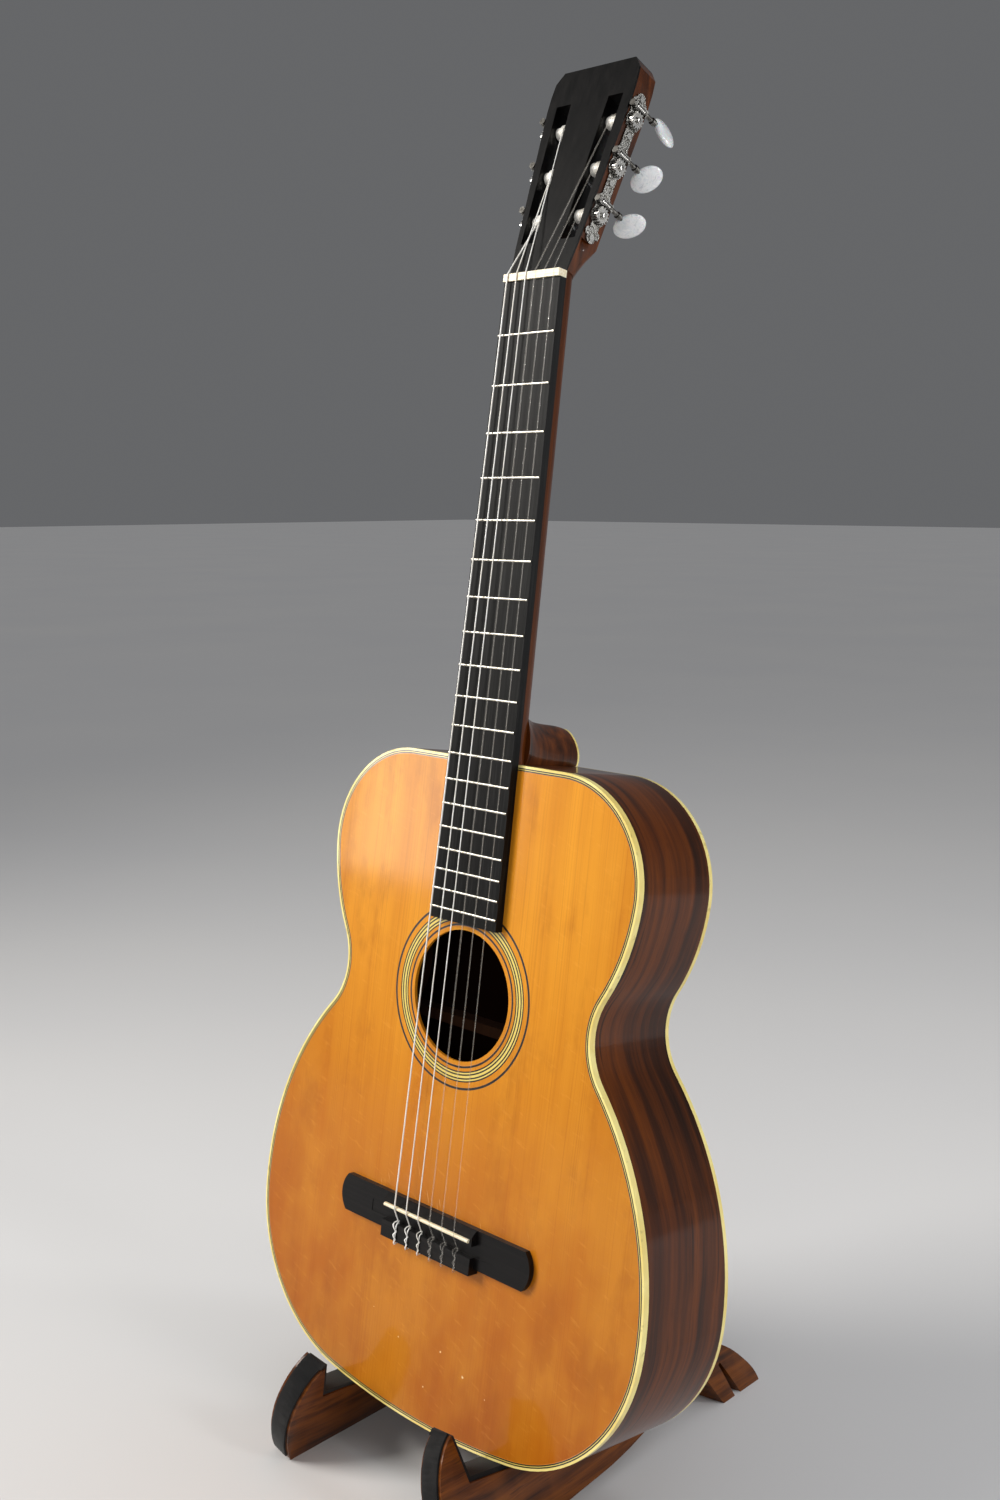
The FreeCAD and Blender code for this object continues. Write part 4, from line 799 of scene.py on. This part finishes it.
def tuner_matrix(side, rise):
    """x out of the headstock's side along the roller, y up that side, in the room's metres."""
    out = Vector((side * math.cos(SIDE_TILT), 0, 0)) - HEAD_UP * math.sin(SIDE_TILT)
    along = Vector((side * math.sin(SIDE_TILT), 0, 0)) + HEAD_UP * math.cos(SIDE_TILT)
    sideways = Vector((side * (HEAD_HALF_WIDTH + HEAD_FLARE * rise), 0, 0))
    spot = HEAD_START + sideways + HEAD_UP * rise + HEAD_IN * ROLLER_DEPTH
    local = Matrix((out, along, out.cross(along))).transposed().to_4x4()
    local.translation = spot
    return TO_METRES @ GUITAR @ local


def winding(name, side, rise, radius, turns, finish, body):
    """A coil of string that starts near the slot's outer wall and lies on the roller's sleeve."""
    start = -(SLOT_INSET + SLOT_FLARE * rise + 1.6)
    front = SLEEVE_RADIUS + radius + 0.06
    bpy.ops.object.select_all(action="DESELECT")
    bpy.ops.mesh.primitive_circle_add(vertices=10, radius=radius, location=(start, 0, side * front),
                                      rotation=(math.pi / 2, 0, 0))
    piece = bpy.context.object
    piece.name = name
    bpy.ops.object.transform_apply(location=True, rotation=True, scale=True)
    coil = piece.modifiers.new("turns", "SCREW")
    coil.axis = "X"
    coil.angle = -side * 2 * math.pi
    coil.iterations = turns
    coil.steps = coil.render_steps = 28
    coil.screw_offset = radius * 2.08
    coil.use_merge_vertices = False
    bpy.ops.object.modifier_apply(modifier=coil.name)
    bpy.ops.object.mode_set(mode="EDIT")
    bpy.ops.mesh.select_all(action="SELECT")
    bpy.ops.mesh.fill_holes(sides=0)
    bpy.ops.mesh.normals_make_consistent(inside=False)
    bpy.ops.object.mode_set(mode="OBJECT")
    piece.data.transform(tuner_matrix(side, rise))
    piece.data.materials.append(finish.material)
    bpy.ops.object.shade_smooth()
    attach(piece, body)
    return piece


for number, side, rise in TUNERS:
    wire = number > WOUND_COUNT
    winding("winding_%d" % number, side, rise, STRING_RADIUS[6 - number], 4 if wire else 5,
            wound if wire else nylon, "tuner_roller_%d" % number)
print("windings", len(TUNERS))

# %% [markdown]
# The worm on each key is a screw: a ridge that climbs round the shaft and meets the gear's teeth. The CAD
# keeps a plain drum there. A small square bar, screwed about the shaft, gives the ridge that shows.

# %% Worm threads
WORM_TURNS = 6
WORM_LENGTH = 9.2
WORM_AXIS = (3.1, 8.6, 0)
for number, side, rise in TUNERS:
    bpy.ops.object.select_all(action="DESELECT")
    bpy.ops.mesh.primitive_circle_add(vertices=4, radius=0.42, location=(2.2, 0, -WORM_LENGTH / 2 + 0.3),
                                      rotation=(math.pi / 2, 0, 0))
    thread = bpy.context.object
    thread.name = "worm_thread_%d" % number
    bpy.ops.object.transform_apply(location=True, rotation=True, scale=True)
    climb = thread.modifiers.new("climb", "SCREW")
    climb.axis = "Z"
    climb.angle = 2 * math.pi
    climb.iterations = WORM_TURNS
    climb.steps = climb.render_steps = 20
    climb.screw_offset = (WORM_LENGTH - 0.6) / WORM_TURNS
    climb.use_merge_vertices = False
    bpy.ops.object.modifier_apply(modifier=climb.name)
    bpy.ops.object.mode_set(mode="EDIT")
    bpy.ops.mesh.select_all(action="SELECT")
    bpy.ops.mesh.fill_holes(sides=0)
    bpy.ops.mesh.normals_make_consistent(inside=False)
    bpy.ops.object.mode_set(mode="OBJECT")
    thread.data.transform(tuner_matrix(side, rise) @ Matrix.Translation(WORM_AXIS))
    thread.data.materials.append(nickel.material)
    bpy.ops.object.shade_smooth_by_angle(angle=math.radians(50))
    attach(thread, "tuner_key_%d" % number)
print("worm threads", len(TUNERS))

# %% [markdown]
# A slotted screw holds each gear on its roller. It is a low cylinder whose outer edge is rounded, with the
# driver's slot cut by a Boolean modifier. Each screw was left at its own angle, and turns with its gear.

# %% Gear screws
SCREW_ANGLES = [20, -35, 70, 5, -60, 40]
GEAR_FACE = 5.65
for (number, side, rise), angle in zip(TUNERS, SCREW_ANGLES):
    bpy.ops.object.select_all(action="DESELECT")
    bpy.ops.mesh.primitive_cube_add(size=1, location=(GEAR_FACE + 0.85, 0, 0), scale=(0.9, 0.55, 6))
    cutter = bpy.context.object
    bpy.ops.mesh.primitive_cylinder_add(vertices=40, radius=1.9, depth=0.9, location=(GEAR_FACE + 0.45, 0, 0),
                                        rotation=(0, math.pi / 2, 0))
    screw = bpy.context.object
    screw.name = "gear_screw_%d" % number
    bpy.ops.object.transform_apply(location=True, rotation=True, scale=True)
    rounding = screw.modifiers.new("rounding", "BEVEL")
    rounding.width = 0.4
    rounding.segments = 3
    rounding.limit_method = "ANGLE"
    bpy.ops.object.modifier_apply(modifier=rounding.name)
    slot = screw.modifiers.new("slot", "BOOLEAN")
    slot.operation = "DIFFERENCE"
    slot.object = cutter
    bpy.ops.object.modifier_apply(modifier=slot.name)
    bpy.data.objects.remove(cutter)
    screw.data.transform(tuner_matrix(side, rise) @ Matrix.Rotation(math.radians(angle), 4, "X"))
    screw.data.materials.append(nickel.material)
    bpy.ops.object.shade_smooth_by_angle(angle=math.radians(35))
    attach(screw, "tuner_roller_%d" % number)
print("gear screws", len(TUNERS))
